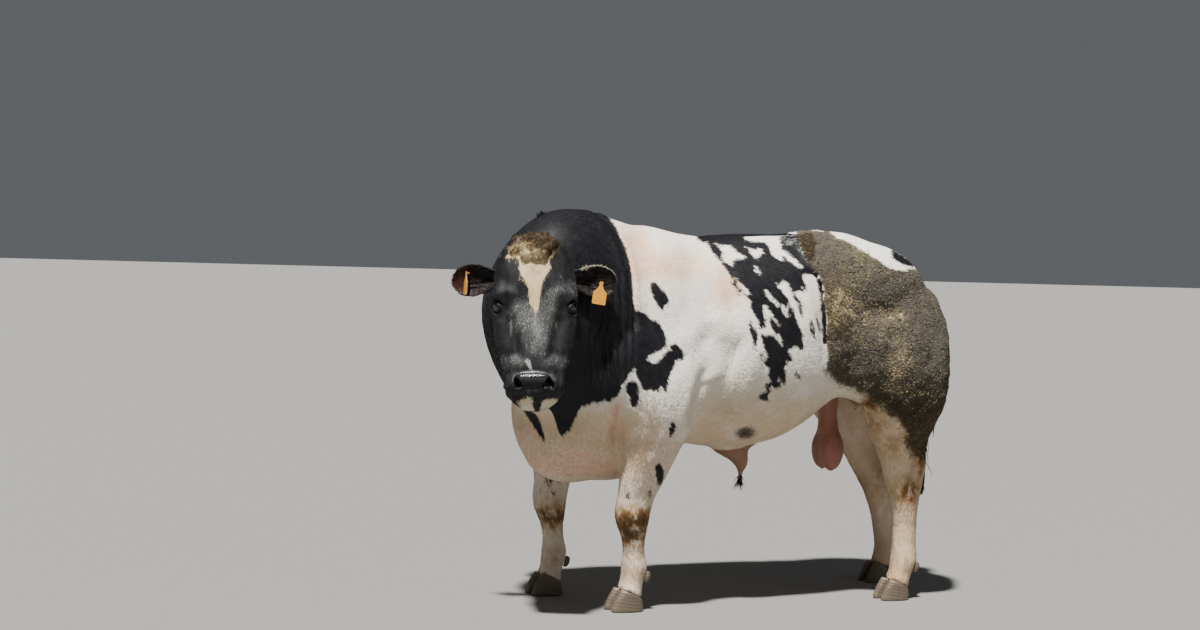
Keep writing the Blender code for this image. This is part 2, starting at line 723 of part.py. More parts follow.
def build_claw(name, foot, outward, size, collection):
    """One claw: sole flat on the floor, wall sloping back, upper edge along the coronet."""
    # share of the height, reach to toe and heel, half width
    stations = [
        (0.00, 0.076, 0.052, 0.0265),
        (0.10, 0.078, 0.055, 0.0280),
        (0.50, 0.062, 0.054, 0.0275),
        (0.85, 0.044, 0.050, 0.0265),
        (1.00, 0.036, 0.048, 0.0255),
    ]
    rings = []
    count = 14
    for share, toe, heel, half in stations:
        points = []
        for k in range(count):
            turn = 2 * math.pi * k / count
            c, s = math.cos(turn), math.sin(turn)
            x = (heel if c > 0 else -toe) * abs(c) ** 0.9
            inner = s * outward < 0
            y = half * math.copysign(abs(s) ** (0.7 if inner else 0.9), s) * (0.88 if inner else 1.0)
            x, y = x * size, y * size
            points.append(foot + Vector((x, outward * 0.0300 * size + y, share * coronet_height(x))))
        rings.append(points)
    return smooth_shaded(loft(name, rings, collection))


def build_feet(parts, model):
    bench = new_collection("foot_cutters")
    for side, sign in SIDES.items():
        for limb, xs, half, size in (
            ("fore", FORE_FOOT_X, HALF_FORE_STANCE, 1.0),
            ("hind", HIND_FOOT_X, HALF_HIND_STANCE, 0.96),
        ):
            foot = Vector((xs[side], sign * half, 0))
            leg = parts[f"{limb}leg_{side}"]
            cutter = foot_cutter("coronet", foot, GAP, bench)
            boolean(leg, cutter, "DIFFERENCE")
            largest_surface(leg)
            for place, outward in (("outer", sign), ("inner", -sign)):
                name = f"claw_{limb}_{side}_{place}"
                parts[name] = build_claw(name, foot, outward, size, model)
                name = f"dewclaw_{limb}_{side}_{place}"
                back = 0.068 if limb == "fore" else 0.084
                shape = (foot.x + back, foot.y + outward * 0.024, 0.128)
                dewclaw = ellipsoid(name, shape, (0.017, 0.014, 0.024), model, -20, segments=8)
                parts[name] = smooth_shaded(make_room(dewclaw, leg))
    remove_collection(bench)


# Head
EYE_DOWN = 0.248
EYE_ASIDE = 0.123
EYE_OUT = 0.012
LID_THICKNESS = 0.0055


def eye_frame(sign):
    """Middle of the eyeball, the way it looks, and the long axis of its opening."""
    centre = on_head(EYE_DOWN, sign * EYE_ASIDE, EYE_OUT)
    gaze = (HEAD_S * sign * 0.77 + HEAD_W * 0.64).normalized()
    corner = HEAD_U * 0.86 + HEAD_W * 0.50
    corner = (corner - gaze * corner.dot(gaze)).normalized()
    return centre, gaze, corner


def posed_ball(name, pose, collection, segments=24):
    bm = bmesh.new()
    bmesh.ops.create_uvsphere(bm, u_segments=segments, v_segments=segments // 2, radius=1.0)
    bmesh.ops.transform(bm, matrix=pose, verts=bm.verts)
    mesh = bpy.data.meshes.new(name)
    bm.to_mesh(mesh)
    bm.free()
    return add_object(name, mesh, collection)


def build_eyes(parts, model):
    """Lids as a thin dome with an almond opening over each eyeball."""
    head = parts["head"]
    for side, sign in SIDES.items():
        # the bull's left is towards +s of the head frame
        centre, gaze, corner = eye_frame(-sign)
        across = gaze.cross(corner)
        turn = Matrix((corner, across, gaze)).transposed().to_4x4()
        place = Matrix.Translation(centre) @ turn
        bench = new_collection("eye_cutters")
        lid_radius = EYEBALL_RADIUS + LID_THICKNESS
        lid_shape = Matrix.Diagonal((lid_radius * 1.12, lid_radius, lid_radius, 1))
        dome = posed_ball("dome", place @ lid_shape, bench, 16)
        boolean(head, dome, "UNION")
        outline = []
        for k in range(12):
            angle = 2 * math.pi * k / 12
            long = 0.0185 * math.cos(angle)
            tall = (0.0125 if math.sin(angle) > 0 else 0.0095) * math.sin(angle)
            outline.append(centre + corner * long + across * tall)
        opening = prism("opening", outline, gaze, 0.0, 0.06, bench)
        boolean(head, opening, "DIFFERENCE")
        socket = posed_ball("socket", place @ Matrix.Scale(EYEBALL_RADIUS + GAP, 4), bench, 16)
        boolean(head, socket, "DIFFERENCE")
        largest_surface(head)
        name = f"eye_{side}"
        parts[name] = smooth_shaded(posed_ball(name, place @ Matrix.Scale(EYEBALL_RADIUS, 4), model, 16))
        remove_collection(bench)


def build_mouth(parts):
    """Cuts the nostrils and the line of the mouth into the head."""
    head = parts["head"]
    bench = new_collection("mouth_cutters")
    for sign in (1, -1):
        down = (HEAD_U * 0.80 + HEAD_S * sign * 0.45).normalized()
        inward = (-HEAD_W + HEAD_S * sign * -0.25).normalized()
        down = (down - inward * down.dot(inward)).normalized()
        turn = Matrix((down, inward.cross(down), inward)).transposed().to_4x4()
        middle = on_face(0.526, sign * 0.058, 0.012)
        pose = Matrix.Translation(middle) @ turn @ Matrix.Diagonal((0.020, 0.0105, 0.032, 1.0))
        nostril = posed_ball("nostril", pose, bench, 14)
        boolean(head, nostril, "DIFFERENCE")
    path = [
        (0.462, 0.122, -0.080),
        (0.498, 0.124, -0.064),
        (0.530, 0.112, -0.044),
        (0.552, 0.080, -0.020),
        (0.561, 0.040, -0.004),
        (0.563, 0.000, 0.002),
    ]
    path = path + [(u, -s, w) for u, s, w in reversed(path[:-1])]
    heart = on_head(0.500, 0, -0.060)
    rings = []
    for k, (u, s, w) in enumerate(path):
        here = on_head(u, s, w)
        before = on_head(*path[max(0, k - 1)])
        after = on_head(*path[min(len(path) - 1, k + 1)])
        along = (after - before).normalized()
        inward = heart - here
        inward = (inward - along * inward.dot(along)).normalized()
        height = inward.cross(along).normalized()
        reach = 0.034 if 0 < k < len(path) - 1 else 0.020
        rings.append([
            here - inward * 0.030 + height * 0.0045,
            here - inward * 0.030 - height * 0.0045,
            here + inward * (reach - 0.012),
        ])
    slit = loft("slit", rings, bench)
    boolean(head, slit, "DIFFERENCE")
    largest_surface(head)
    remove_collection(bench)


def build_poll_curls(parts):
    """Rounded clumps of the curly hair between the ears, fused with the head."""
    random.seed(SEED)
    bench = new_collection("curls")
    turn = Matrix((HEAD_S, HEAD_U, -HEAD_W)).transposed().to_4x4()
    # down the face, clumps in the row, reach to the sides
    rows = [(0.004, 5, 0.062), (0.024, 5, 0.076), (0.046, 5, 0.070), (0.070, 3, 0.040)]
    for row, (u, count, reach) in enumerate(rows):
        for k in range(count):
            share = (k + 0.25 + 0.5 * (row % 2)) / count
            s = reach * (2 * share - 1) - 0.008 + random.uniform(-0.004, 0.004)
            found, spot, facing, face = parts["head"].closest_point_on_mesh(on_face(u, s))
            spot = spot + facing * 0.003
            size = random.uniform(0.9, 1.2)
            spin = Matrix.Rotation(random.uniform(-0.5, 0.5), 4, "Z")
            shape = Matrix.Diagonal((0.019 * size, 0.023 * size, 0.016 * size, 1))
            posed_ball("curl", Matrix.Translation(spot) @ turn @ spin @ shape, bench, 7)
    merge_all(parts["head"], bench)


def build_ear(side, parts, model):
    """A leaf-shaped shell, hollow towards the front."""
    sign = -SIDES[side]
    root = on_head(0.128, sign * 0.128, -0.058)
    axis = (HEAD_S * sign * 0.90 + HEAD_U * 0.06 - HEAD_W * 0.22).normalized()
    opening = HEAD_W * 0.93 + HEAD_U * 0.22 + HEAD_S * sign * 0.22
    opening = (opening - axis * opening.dot(axis)).normalized()
    width = opening.cross(axis).normalized()
    # share of the length, half width, depth of the hollow, wall
    stations = [
        (0.00, 0.026, 0.030, 0.009),
        (0.14, 0.036, 0.036, 0.008),
        (0.32, 0.051, 0.036, 0.007),
        (0.52, 0.058, 0.030, 0.006),
        (0.70, 0.056, 0.023, 0.006),
        (0.85, 0.046, 0.016, 0.005),
        (0.95, 0.029, 0.010, 0.004),
        (1.00, 0.012, 0.006, 0.003),
    ]
    rings = []
    for share, half, depth, wall in stations:
        middle = root + axis * (EAR_LENGTH * share)
        outer, inner = [], []
        for k in range(8):
            angle = math.pi * (k / 7 - 0.5)
            outer.append(middle + width * (half * math.sin(angle)) - opening * (depth * math.cos(angle)))
            inner.append(
                middle
                + width * ((half - wall) * math.sin(angle))
                - opening * ((depth - wall) * math.cos(angle) - 0.0015)
            )
        rings.append(outer + inner[::-1])
    name = f"ear_{side}"
    ear = smooth_shaded(loft(name, rings, model), 60)
    parts[name] = ear
    make_room(ear, parts["head"])
    build_tag(side, ear, root + axis * (EAR_LENGTH * 0.66), opening, parts, model)


TAG_THICKNESS = 0.0030
TAG_WIDTH = 0.050
TAG_HEIGHT = 0.082
TAG_LEAN = 0.10
TAG_TOP = 0.008
PIN_RADIUS = 0.0035
PIN_BACK = 0.034
BUTTON_RADIUS = 0.012
BUTTON_THICKNESS = 0.003
# Side: how far below the ear's middle the pin sits, swing and clearance of the plate, tilt in the ear's plane
TAG_HANG = {"left": (0.008, 0.0, 0.006, -8.0), "right": (-0.026, 66.0, 0.024, 0.0)}


def build_tag(side, ear, middle, opening, parts, model):
    """A blank plate hanging before the ear, with a pin through it and a button behind."""
    bench = new_collection("tag_tools")
    lower, swing, clear, tilt = TAG_HANG[side]
    drop = (-UP - opening * opening.dot(-UP)).normalized()
    drop = (Matrix.Rotation(math.radians(tilt), 3, opening) @ drop).normalized()
    pin_at = middle + drop * lower
    facing = Matrix.Rotation(math.radians(swing), 3, drop) @ opening
    aside = drop.cross(facing).normalized()
    down = (drop + opening * TAG_LEAN).normalized()
    out = aside.cross(down).normalized()
    # share of the height and of the half width down one edge
    edge = [(0.00, 0.26), (0.16, 0.22), (0.30, 0.42), (0.48, 1.00), (0.96, 1.00), (1.00, 0.90)]
    outline = [down * (TAG_HEIGHT * t) + aside * (TAG_WIDTH / 2 * h) for t, h in edge]
    outline += [down * (TAG_HEIGHT * t) - aside * (TAG_WIDTH / 2 * h) for t, h in reversed(edge)]
    top = pin_at - drop * TAG_TOP + opening * clear
    name = f"ear_tag_{side}"
    tag = prism(name, [top + p for p in outline], out, 0.0, TAG_THICKNESS, model)
    front = pin_at + opening * (clear + TAG_THICKNESS / 2)
    pin = rod("pin", pin_at - opening * PIN_BACK, front, PIN_RADIUS, bench)
    ends = (pin_at - opening * (PIN_BACK + BUTTON_THICKNESS), pin_at - opening * (PIN_BACK - GAP))
    button = rod("button", *ends, BUTTON_RADIUS, bench)
    hole = rod("hole", pin_at - opening * 0.050, pin_at + opening * 0.020, PIN_RADIUS + GAP * 1.5, bench)
    boolean(ear, hole, "DIFFERENCE")
    largest_surface(ear)
    bpy.data.objects.remove(hole, do_unlink=True)
    boolean(tag, pin, "UNION")
    boolean(tag, button, "UNION")
    largest_surface(tag)
    parts[name] = smooth_shaded(tag)
    remove_collection(bench)


def rod(name, start, end, radius, collection, sides=10):
    """A cylinder from start to end."""
    bm = bmesh.new()
    length = (end - start).length
    bmesh.ops.create_cone(
        bm, cap_ends=True, segments=sides, radius1=radius, radius2=radius, depth=length
    )
    mesh = bpy.data.meshes.new(name)
    bm.to_mesh(mesh)
    bm.free()
    turn = (end - start).to_track_quat("Z", "Y").to_matrix().to_4x4()
    mesh.transform(Matrix.Translation((start + end) / 2) @ turn)
    return add_object(name, mesh, collection)


# Tail and hair
def tube(name, rows, collection, roundness=2):
    """A tube through rows of x, y, z and radius, with filled ends."""
    curve = bpy.data.curves.new(name, "CURVE")
    curve.dimensions = "3D"
    curve.bevel_depth = 1.0
    curve.bevel_resolution = roundness
    curve.use_fill_caps = True
    spline = curve.splines.new("POLY")
    spline.points.add(len(rows) - 1)
    for point, (x, y, z, radius) in zip(spline.points, rows):
        point.co = (x, y, z, 1)
        point.radius = radius
    return meshed(add_object(name, curve, collection))


def lock(name, path, widths, thickness, facing, collection):
    """A flat tapered lock of hair along a path."""
    rings = []
    for k, here in enumerate(path):
        along = (path[min(k + 1, len(path) - 1)] - path[max(k - 1, 0)]).normalized()
        normal = (facing - along * facing.dot(along)).normalized()
        side = along.cross(normal)
        half, thick = widths[k] / 2, thickness * (0.35 + 0.65 * widths[k] / max(widths)) / 2
        rings.append([here + side * half, here + normal * thick, here - side * half, here - normal * thick])
    return loft(name, rings, collection)


TAIL_ROWS = [
    (1.13, 0.000, 1.325, 0.050),
    (1.20, 0.000, 1.308, 0.048),
    (1.265, 0.000, 1.280, 0.044),
    (1.318, 0.000, 1.220, 0.040),
    (1.345, -0.002, 1.140, 0.036),
    (1.358, -0.004, 1.050, 0.031),
    (1.366, -0.006, 0.940, 0.027),
    (1.376, -0.008, 0.820, 0.024),
    (1.382, -0.008, 0.690, 0.022),
]
SWITCH_TOP = 0.70
SWITCH_TIP = 0.385


def build_tail(parts, model):
    rows = between(TAIL_ROWS, 2)
    tail = smooth_shaded(tube("tail", rows, model))
    below = box("below", (1.2, -0.2, 0.5), (1.6, 0.2, SWITCH_TOP), model)
    boolean(tail, below, "DIFFERENCE")
    bpy.data.objects.remove(below, do_unlink=True)
    parts["tail"] = make_room(tail, parts["torso"], parts["hindleg_left"], parts["hindleg_right"])
    top = SWITCH_TOP - GAP
    x, y = TAIL_ROWS[-1][0], TAIL_ROWS[-1][1]
    core_rows = [(x, y, top, 0.021), (x, y, 0.66, 0.020), (x, y, 0.60, 0.016), (x, y, 0.555, 0.006)]
    switch = tube("tail_switch", core_rows, model)
    random.seed(SEED + 1)
    bench = new_collection("switch_locks")
    count = 15
    for k in range(count):
        turn = 2 * math.pi * k / count * 4.0
        ring_share = 0.45 + 0.55 * ((k * 7) % count) / count
        out = Vector((math.cos(turn), math.sin(turn), 0))
        start = Vector((x, y, top - 0.020 - 0.085 * ((k * 11) % count) / count))
        bulge = 0.024 + 0.020 * ring_share
        tip = SWITCH_TIP + random.uniform(0.0, 0.07) * (1.2 - ring_share)
        drop = start.z - tip
        swing = random.uniform(-0.010, 0.010)
        path = [
            start + out * 0.006,
            start + out * (bulge * 0.85) - UP * (drop * 0.25),
            start + out * bulge - UP * (drop * 0.55) + Vector((swing, swing * 0.5, 0)),
            start + out * (bulge * 0.80) - UP * (drop * 0.82) + Vector((swing, swing, 0)),
            start + out * (bulge * 0.45) - UP * drop + Vector((swing * 1.5, swing, 0)),
        ]
        lock("switch_lock", path, [0.014, 0.032, 0.036, 0.026, 0.005], 0.014, out, bench)
    merge_all(switch, bench)
    parts["tail_switch"] = smooth_shaded(switch)


def build_underline(parts, model):
    """Scrotum and sheath, hanging from the torso, and the tuft at the end of the sheath."""
    bench = new_collection("soft_forms")
    for sign in (1, -1):
        ellipsoid("testis", (0.965, sign * 0.030, 0.575), (0.054, 0.045, 0.088), bench, 0, segments=24)
    ellipsoid("purse", (0.962, 0, 0.66), (0.042, 0.050, 0.09), bench, 0, segments=24)
    ellipsoid("cord", (0.955, 0, 0.78), (0.045, 0.050, 0.12), bench, 0, segments=24)
    scrotum = fuse(bench, "scrotum", model, 0.005)
    bpy.data.collections.remove(bench)
    blend(scrotum, 8)
    thin_out(scrotum, 300)
    parts["scrotum"] = smooth_shaded(make_room(scrotum, parts["torso"]))
    bench = new_collection("soft_forms")
    rows = [
        (0.440, 0, 0.640, 0.050),
        (0.500, 0, 0.605, 0.056),
        (0.555, 0, 0.565, 0.046),
        (0.575, 0, 0.520, 0.030),
        (0.578, 0, 0.498, 0.020),
    ]
    tube("sheath_form", between(rows, 3), bench, 4)
    ellipsoid("sheath_base", (0.52, 0, 0.625), (0.14, 0.055, 0.055), bench, segments=24)
    sheath = fuse(bench, "sheath", model, 0.005)
    bpy.data.collections.remove(bench)
    blend(sheath, 6)
    thin_out(sheath, 220)
    make_room(sheath, parts["torso"])
    bench = new_collection("tuft_locks")
    random.seed(SEED + 2)
    for k in range(5):
        turn = 2 * math.pi * k / 5
        out = Vector((math.cos(turn), math.sin(turn), 0))
        start = Vector((0.577, 0, 0.522)) + out * 0.012
        tip = start - UP * random.uniform(0.070, 0.100) - out * 0.010 + Vector((-0.006, 0, 0))
        path = [start, start.lerp(tip, 0.4) + out * 0.003, start.lerp(tip, 0.75), tip]
        lock("tuft_lock", path, [0.014, 0.014, 0.010, 0.003], 0.007, out, bench)
    merge_all(sheath, bench)
    parts["sheath"] = smooth_shaded(sheath)


COLOURS = {
    "head": ((0.03, 0.03, 0.035), 0.7),
    "neck": ((0.03, 0.03, 0.035), 0.7),
    "torso": ((0.72, 0.66, 0.58), 0.8),
    "foreleg": ((0.74, 0.69, 0.62), 0.8),
    "hindleg": ((0.66, 0.58, 0.47), 0.8),
    "ear": ((0.05, 0.04, 0.035), 0.8),
    "ear_tag": ((0.85, 0.42, 0.06), 0.45),
    "eye": ((0.02, 0.012, 0.01), 0.08),
    "claw": ((0.16, 0.13, 0.10), 0.5),
    "dewclaw": ((0.16, 0.13, 0.10), 0.5),
    "tail": ((0.30, 0.27, 0.22), 0.8),
    "tail_switch": ((0.03, 0.03, 0.03), 0.7),
    "scrotum": ((0.45, 0.22, 0.17), 0.6),
    "sheath": ((0.48, 0.30, 0.24), 0.7),
}


def paint(parts):
    for name, obj in parts.items():
        kind = max((k for k in COLOURS if name.startswith(k)), key=len)
        colour, roughness = COLOURS[kind]
        obj.data.materials.clear()
        obj.data.materials.append(material(f"{name}_surface", colour, roughness))


def stand_on_floor(parts, model):
    """Gives each piece an origin in its middle and hangs all on one empty, which moves them.

    The middle of the model's box then stands over the origin, and the move is returned.
    """
    corners = np.concatenate([vertices_of(obj.data) for obj in parts.values()])
    low, high = corners.min(axis=0), corners.max(axis=0)
    shift = Vector((-(low[0] + high[0]) / 2, -(low[1] + high[1]) / 2, -low[2]))
    bull = add_object("bull", None, model)
    bull.location = shift
    for obj in parts.values():
        points = vertices_of(obj.data)
        middle = Vector((points.min(axis=0) + points.max(axis=0)) / 2)
        obj.data.transform(Matrix.Translation(-middle))
        obj.data.update()
        obj.location = middle
        obj.parent = bull
    bpy.context.view_layer.update()
    return shift


def main():
    clear_scene()
    model = new_collection("belgian_blue_bull")
    forms = new_collection("forms")
    build_trunk(forms)
    build_neck(forms)
    build_head(forms)
    build_muscles(forms)
    for side in SIDES:
        build_foreleg(side, forms)
        build_hindleg(side, forms)
    whole = fuse(forms, "whole", model)
    bpy.data.collections.remove(forms)
    blend(whole, 12)
    trunk_group(whole)
    blend(whole, 120, "trunk")
    whole.vertex_groups.clear()
    press_grooves(whole)
    blend(whole, 4)
    thin_out(whole, FLESH_TRIANGLES, head_warp)
    parts = part_flesh(whole, model)
    build_feet(parts, model)
    build_eyes(parts, model)
    build_mouth(parts)
    build_poll_curls(parts)
    for side in SIDES:
        build_ear(side, parts, model)
    build_tail(parts, model)
    build_underline(parts, model)
    for name in ("head", "neck", "torso", "foreleg_left", "foreleg_right", "hindleg_left", "hindleg_right"):
        smooth_shaded(parts[name])
    paint(parts)
    return stand_on_floor(parts, model)


if __name__ == "__main__":
    main()
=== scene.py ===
import math

import bmesh
import bpy
import numpy as np
from mathutils import Matrix, Vector


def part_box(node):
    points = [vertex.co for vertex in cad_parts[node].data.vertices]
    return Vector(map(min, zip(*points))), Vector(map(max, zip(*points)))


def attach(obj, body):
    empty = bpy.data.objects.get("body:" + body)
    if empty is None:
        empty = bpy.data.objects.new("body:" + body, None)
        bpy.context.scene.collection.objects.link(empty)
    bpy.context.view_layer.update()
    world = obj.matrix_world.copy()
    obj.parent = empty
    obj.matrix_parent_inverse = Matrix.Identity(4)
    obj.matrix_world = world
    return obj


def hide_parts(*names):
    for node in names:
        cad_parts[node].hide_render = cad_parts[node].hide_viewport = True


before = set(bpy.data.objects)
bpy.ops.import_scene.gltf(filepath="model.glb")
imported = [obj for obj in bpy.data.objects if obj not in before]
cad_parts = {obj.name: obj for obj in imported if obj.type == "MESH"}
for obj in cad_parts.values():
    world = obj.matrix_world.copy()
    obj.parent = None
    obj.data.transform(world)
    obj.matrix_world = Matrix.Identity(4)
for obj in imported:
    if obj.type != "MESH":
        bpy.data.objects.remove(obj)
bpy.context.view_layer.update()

# Places are worked out in the bull's own system: the left fore foot is at x 0 and y -0.195, the bull
# faces -x and its left side is towards -y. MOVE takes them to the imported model.
FORE_TOE_REACH = 0.078
HALF_STANCE = 0.195
outer_low, outer_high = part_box("claw_fore_left_outer")
inner_low, inner_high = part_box("claw_fore_left_inner")
foot_y = (outer_low.y + outer_high.y + inner_low.y + inner_high.y) / 4
MOVE = np.array([outer_low.x + FORE_TOE_REACH, foot_y + HALF_STANCE, 0.0])

# The head's own system: u down the face from the poll, s to the side of the left ear, w out of the face
POLL = np.array([-0.513, -0.366, 1.380])
HEAD_YAW, HEAD_NOD, HEAD_TILT = 66.0, 13.0, 2.0
EYE_DOWN, EYE_ASIDE, EYE_OUT, EYEBALL_RADIUS = 0.248, 0.123, 0.012, 0.020

RNG = np.random.default_rng(20)
UP = Vector((0, 0, 1))
collection = bpy.context.scene.collection


def mm(*numbers):
    """Points of a line or an outline, from pairs of numbers in millimetres."""
    return [(a / 1000, b / 1000) for a, b in zip(numbers[::2], numbers[1::2])]


def blend(a, b, share):
    return np.array(a) * (1 - share) + np.array(b) * share


def head_axes():
    yaw, nod, tilt = (math.radians(a) for a in (HEAD_YAW, HEAD_NOD, HEAD_TILT))
    ahead = Vector((-math.cos(yaw), -math.sin(yaw), 0))
    u = (-UP * math.cos(nod) + ahead * math.sin(nod)).normalized()
    w = (ahead * math.cos(nod) + UP * math.sin(nod)).normalized()
    s = UP.cross(ahead).normalized()
    u, s = u * math.cos(tilt) + s * math.sin(tilt), s * math.cos(tilt) - u * math.sin(tilt)
    return np.array(u), np.array(s), np.array(w)


HEAD_U, HEAD_S, HEAD_W = head_axes()
HEAD_MIDDLE = POLL + HEAD_U * 0.27 - HEAD_W * 0.05


def on_head(u, s, w):
    return POLL + HEAD_U * u + HEAD_S * s + HEAD_W * w


def in_head(where):
    rel = where - POLL
    return rel @ HEAD_U, rel @ HEAD_S, rel @ HEAD_W


def unit(v):
    return v / np.maximum(np.linalg.norm(v, axis=-1, keepdims=True), 1e-12)


def smooth(x, low, high):
    t = np.clip((x - low) / (high - low), 0, 1)
    return t * t * (3 - 2 * t)


def bump(x, width):
    return np.exp(-((x / width) ** 2))


# Mesh data
def read(items, key, columns, kind=float):
    """What a list of Blender's items holds under a key, as rows of numbers."""
    out = np.empty(len(items) * columns, kind)
    items.foreach_get(key, out)
    return out.reshape(-1, columns)


def coordinates(mesh):
    return read(mesh.vertices, "co", 3)


def vertex_normals(mesh):
    return read(mesh.vertex_normals, "vector", 3)


def bm_mesh(bm, name):
    """A new mesh from an edit mesh, which is then freed."""
    mesh = bpy.data.meshes.new(name)
    bm.to_mesh(mesh)
    bm.free()
    return mesh


def edge_pairs(mesh):
    return read(mesh.edges, "vertices", 2, np.int32)


def set_coordinates(mesh, where):
    mesh.vertices.foreach_set("co", where.ravel())
    mesh.update()


def triangles_of(mesh):
    mesh.calc_loop_triangles()
    return [read(mesh.loop_triangles, key, 3, np.int32) for key in ("vertices", "loops")]


def make_mesh(name, where, faces):
    """A mesh of triangles or quads from arrays, smooth shaded."""
    mesh = bpy.data.meshes.new(name)
    size = faces.shape[1]
    mesh.vertices.add(len(where))
    mesh.vertices.foreach_set("co", where.ravel())
    mesh.loops.add(faces.size)
    mesh.loops.foreach_set("vertex_index", faces.ravel().astype(np.int32))
    mesh.polygons.add(len(faces))
    mesh.polygons.foreach_set("loop_start", np.arange(0, faces.size, size, dtype=np.int32))
    mesh.update(calc_edges=True)
    mesh.polygons.foreach_set("use_smooth", np.ones(len(faces), bool))
    return mesh


def add_object(name, mesh):
    obj = bpy.data.objects.new(name, mesh)
    collection.objects.link(obj)
    return obj


def add_piece(name, mesh, places, material):
    """Adds a smooth piece, moved from the bull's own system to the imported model."""
    mesh.materials.append(material)
    mesh.polygons.foreach_set("use_smooth", np.ones(len(mesh.polygons), bool))
    set_coordinates(mesh, places + MOVE)
    return add_object(name, mesh)


def set_field(mesh, name, values):
    """Stores a number, a vector or a colour on every vertex."""
    kind = {1: "FLOAT", 3: "FLOAT_VECTOR", 4: "FLOAT_COLOR"}[1 if values.ndim == 1 else values.shape[1]]
    key = {"FLOAT": "value", "FLOAT_VECTOR": "vector", "FLOAT_COLOR": "color"}[kind]
    mesh.attributes.new(name, kind, "POINT").data.foreach_set(key, values.astype(np.float32).ravel())


def relax(where, edges, rounds, weight=1.0):
    """Smooths without shrinking: each round pulls in and pushes back."""
    n = len(where)
    a, b = edges[:, 0], edges[:, 1]
    count = np.maximum(np.bincount(edges.ravel(), minlength=n), 1)
    for k in range(rounds):
        for factor in (0.5, -0.52):
            mean = np.stack([np.bincount(a, c[b], n) + np.bincount(b, c[a], n) for c in where.T], 1)
            where = where + (mean / count[:, None] - where) * (factor * weight)
    return where


# The skin
FLESH = [
    "head", "neck", "torso", "foreleg_left", "foreleg_right", "hindleg_left", "hindleg_right",
    "tail", "scrotum", "sheath",
]
HEAD_SIZE, HEAD_REACH, HEAD_DETAIL = 0.42, 0.31, 2.5
SKIN_VOXEL, EAR_VOXEL, SWITCH_VOXEL, CLAW_VOXEL, DEWCLAW_VOXEL = 0.0158, 0.0026, 0.006, 0.0032, 0.0022
CLOSE_GAPS = 0.0006
SPLIT_REACH, SPLIT_LENGTHS = 0.80, (0.030, 0.018)
SKIN_ROUNDS, FINE_ROUNDS, EAR_ROUNDS, SWITCH_ROUNDS, CLAW_ROUNDS = 40, 6, 14, 10, 6


def head_warp(where, inverse=False):
    """Enlarges the space round the head, so that one voxel size gives finer faces there."""
    away = where - HEAD_MIDDLE
    reach = np.linalg.norm(away, axis=1)
    spare = (HEAD_DETAIL - 1) * HEAD_REACH
    if inverse:
        new = np.where(reach < HEAD_REACH * HEAD_DETAIL, reach / HEAD_DETAIL, reach - spare)
    else:
        new = np.where(reach < HEAD_REACH, reach * HEAD_DETAIL, reach + spare)
    return HEAD_MIDDLE + away * (new / np.maximum(reach, 1e-9))[:, None]


def welded_copy(name, swell):
    """The faces of a solid with shared corners, pushed out by swell, in the bull's own system."""
    bm = bmesh.new()
    bm.from_mesh(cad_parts[name].data)
    bmesh.ops.remove_doubles(bm, verts=bm.verts, dist=1e-5)
    bm.normal_update()
    for vertex in bm.verts:
        vertex.co += vertex.normal * swell
    mesh = bm_mesh(bm, name)
    set_coordinates(mesh, coordinates(mesh) - MOVE)
    return mesh


def remeshed(mesh, voxel):
    obj = add_object("remesh", mesh)
    modifier = obj.modifiers.new("fuse", "REMESH")
    modifier.mode = "VOXEL"
    modifier.voxel_size = voxel
    graph = bpy.context.evaluated_depsgraph_get()
    out = bpy.data.meshes.new_from_object(obj.evaluated_get(graph))
    bpy.data.objects.remove(obj, do_unlink=True)
    return out


def refine(mesh, chosen):
    """Splits the faces whose corners are all chosen."""
    bm = bmesh.new()
    bm.from_mesh(mesh)
    bm.verts.ensure_lookup_table()
    edges = [e for e in bm.edges if chosen[e.verts[0].index] and chosen[e.verts[1].index]]
    bmesh.ops.subdivide_edges(bm, edges=edges, cuts=1, use_grid_fill=True)
    bm.to_mesh(mesh)
    bm.free()
    return mesh


def line_distance(points, path):
    """Distance of each point to a polyline and its nearest point's share of the way along."""
    path = np.array(path, float)
    best = np.full(len(points), 1e9)
    along = np.zeros(len(points))
    lengths = np.linalg.norm(np.diff(path, axis=0), axis=1)
    done = 0.0
    for a, b, length in zip(path, path[1:], lengths):
        share = np.clip((points - a) @ (b - a) / length**2, 0, 1)
        apart = np.linalg.norm(points - (a + share[:, None] * (b - a)), axis=1)
        nearer = apart < best
        best = np.where(nearer, apart, best)
        along = np.where(nearer, done + share * length, along)
        done += length
    return best, along / done


def off_line(points, path):
    """Distance of each point to a polyline."""
    return line_distance(points, path)[0]


def outline_depth(points, outline):
    """Signed distance to a closed outline, positive inside. It is worked out near the outline only."""
    outline = np.array(outline, float)
    closed = np.vstack([outline, outline[:1]])
    reach = np.ptp(outline, axis=0).max() * 0.75 + 0.12
    near = np.abs(points - outline.mean(axis=0)).max(axis=1) < reach
    out = np.full(len(points), -0.2)
    some = points[near]
    if not len(some):
        return out
    apart = off_line(some, closed)
    inside = np.zeros(len(some), bool)
    x, y = some[:, 0], some[:, 1]
    for (xa, ya), (xb, yb) in zip(closed, closed[1:]):
        if ya != yb:
            crosses = (ya > y) != (yb > y)
            inside ^= crosses & (x < (xb - xa) * (y - ya) / (yb - ya) + xa)
    out[near] = np.where(inside, apart, -apart)
    return out


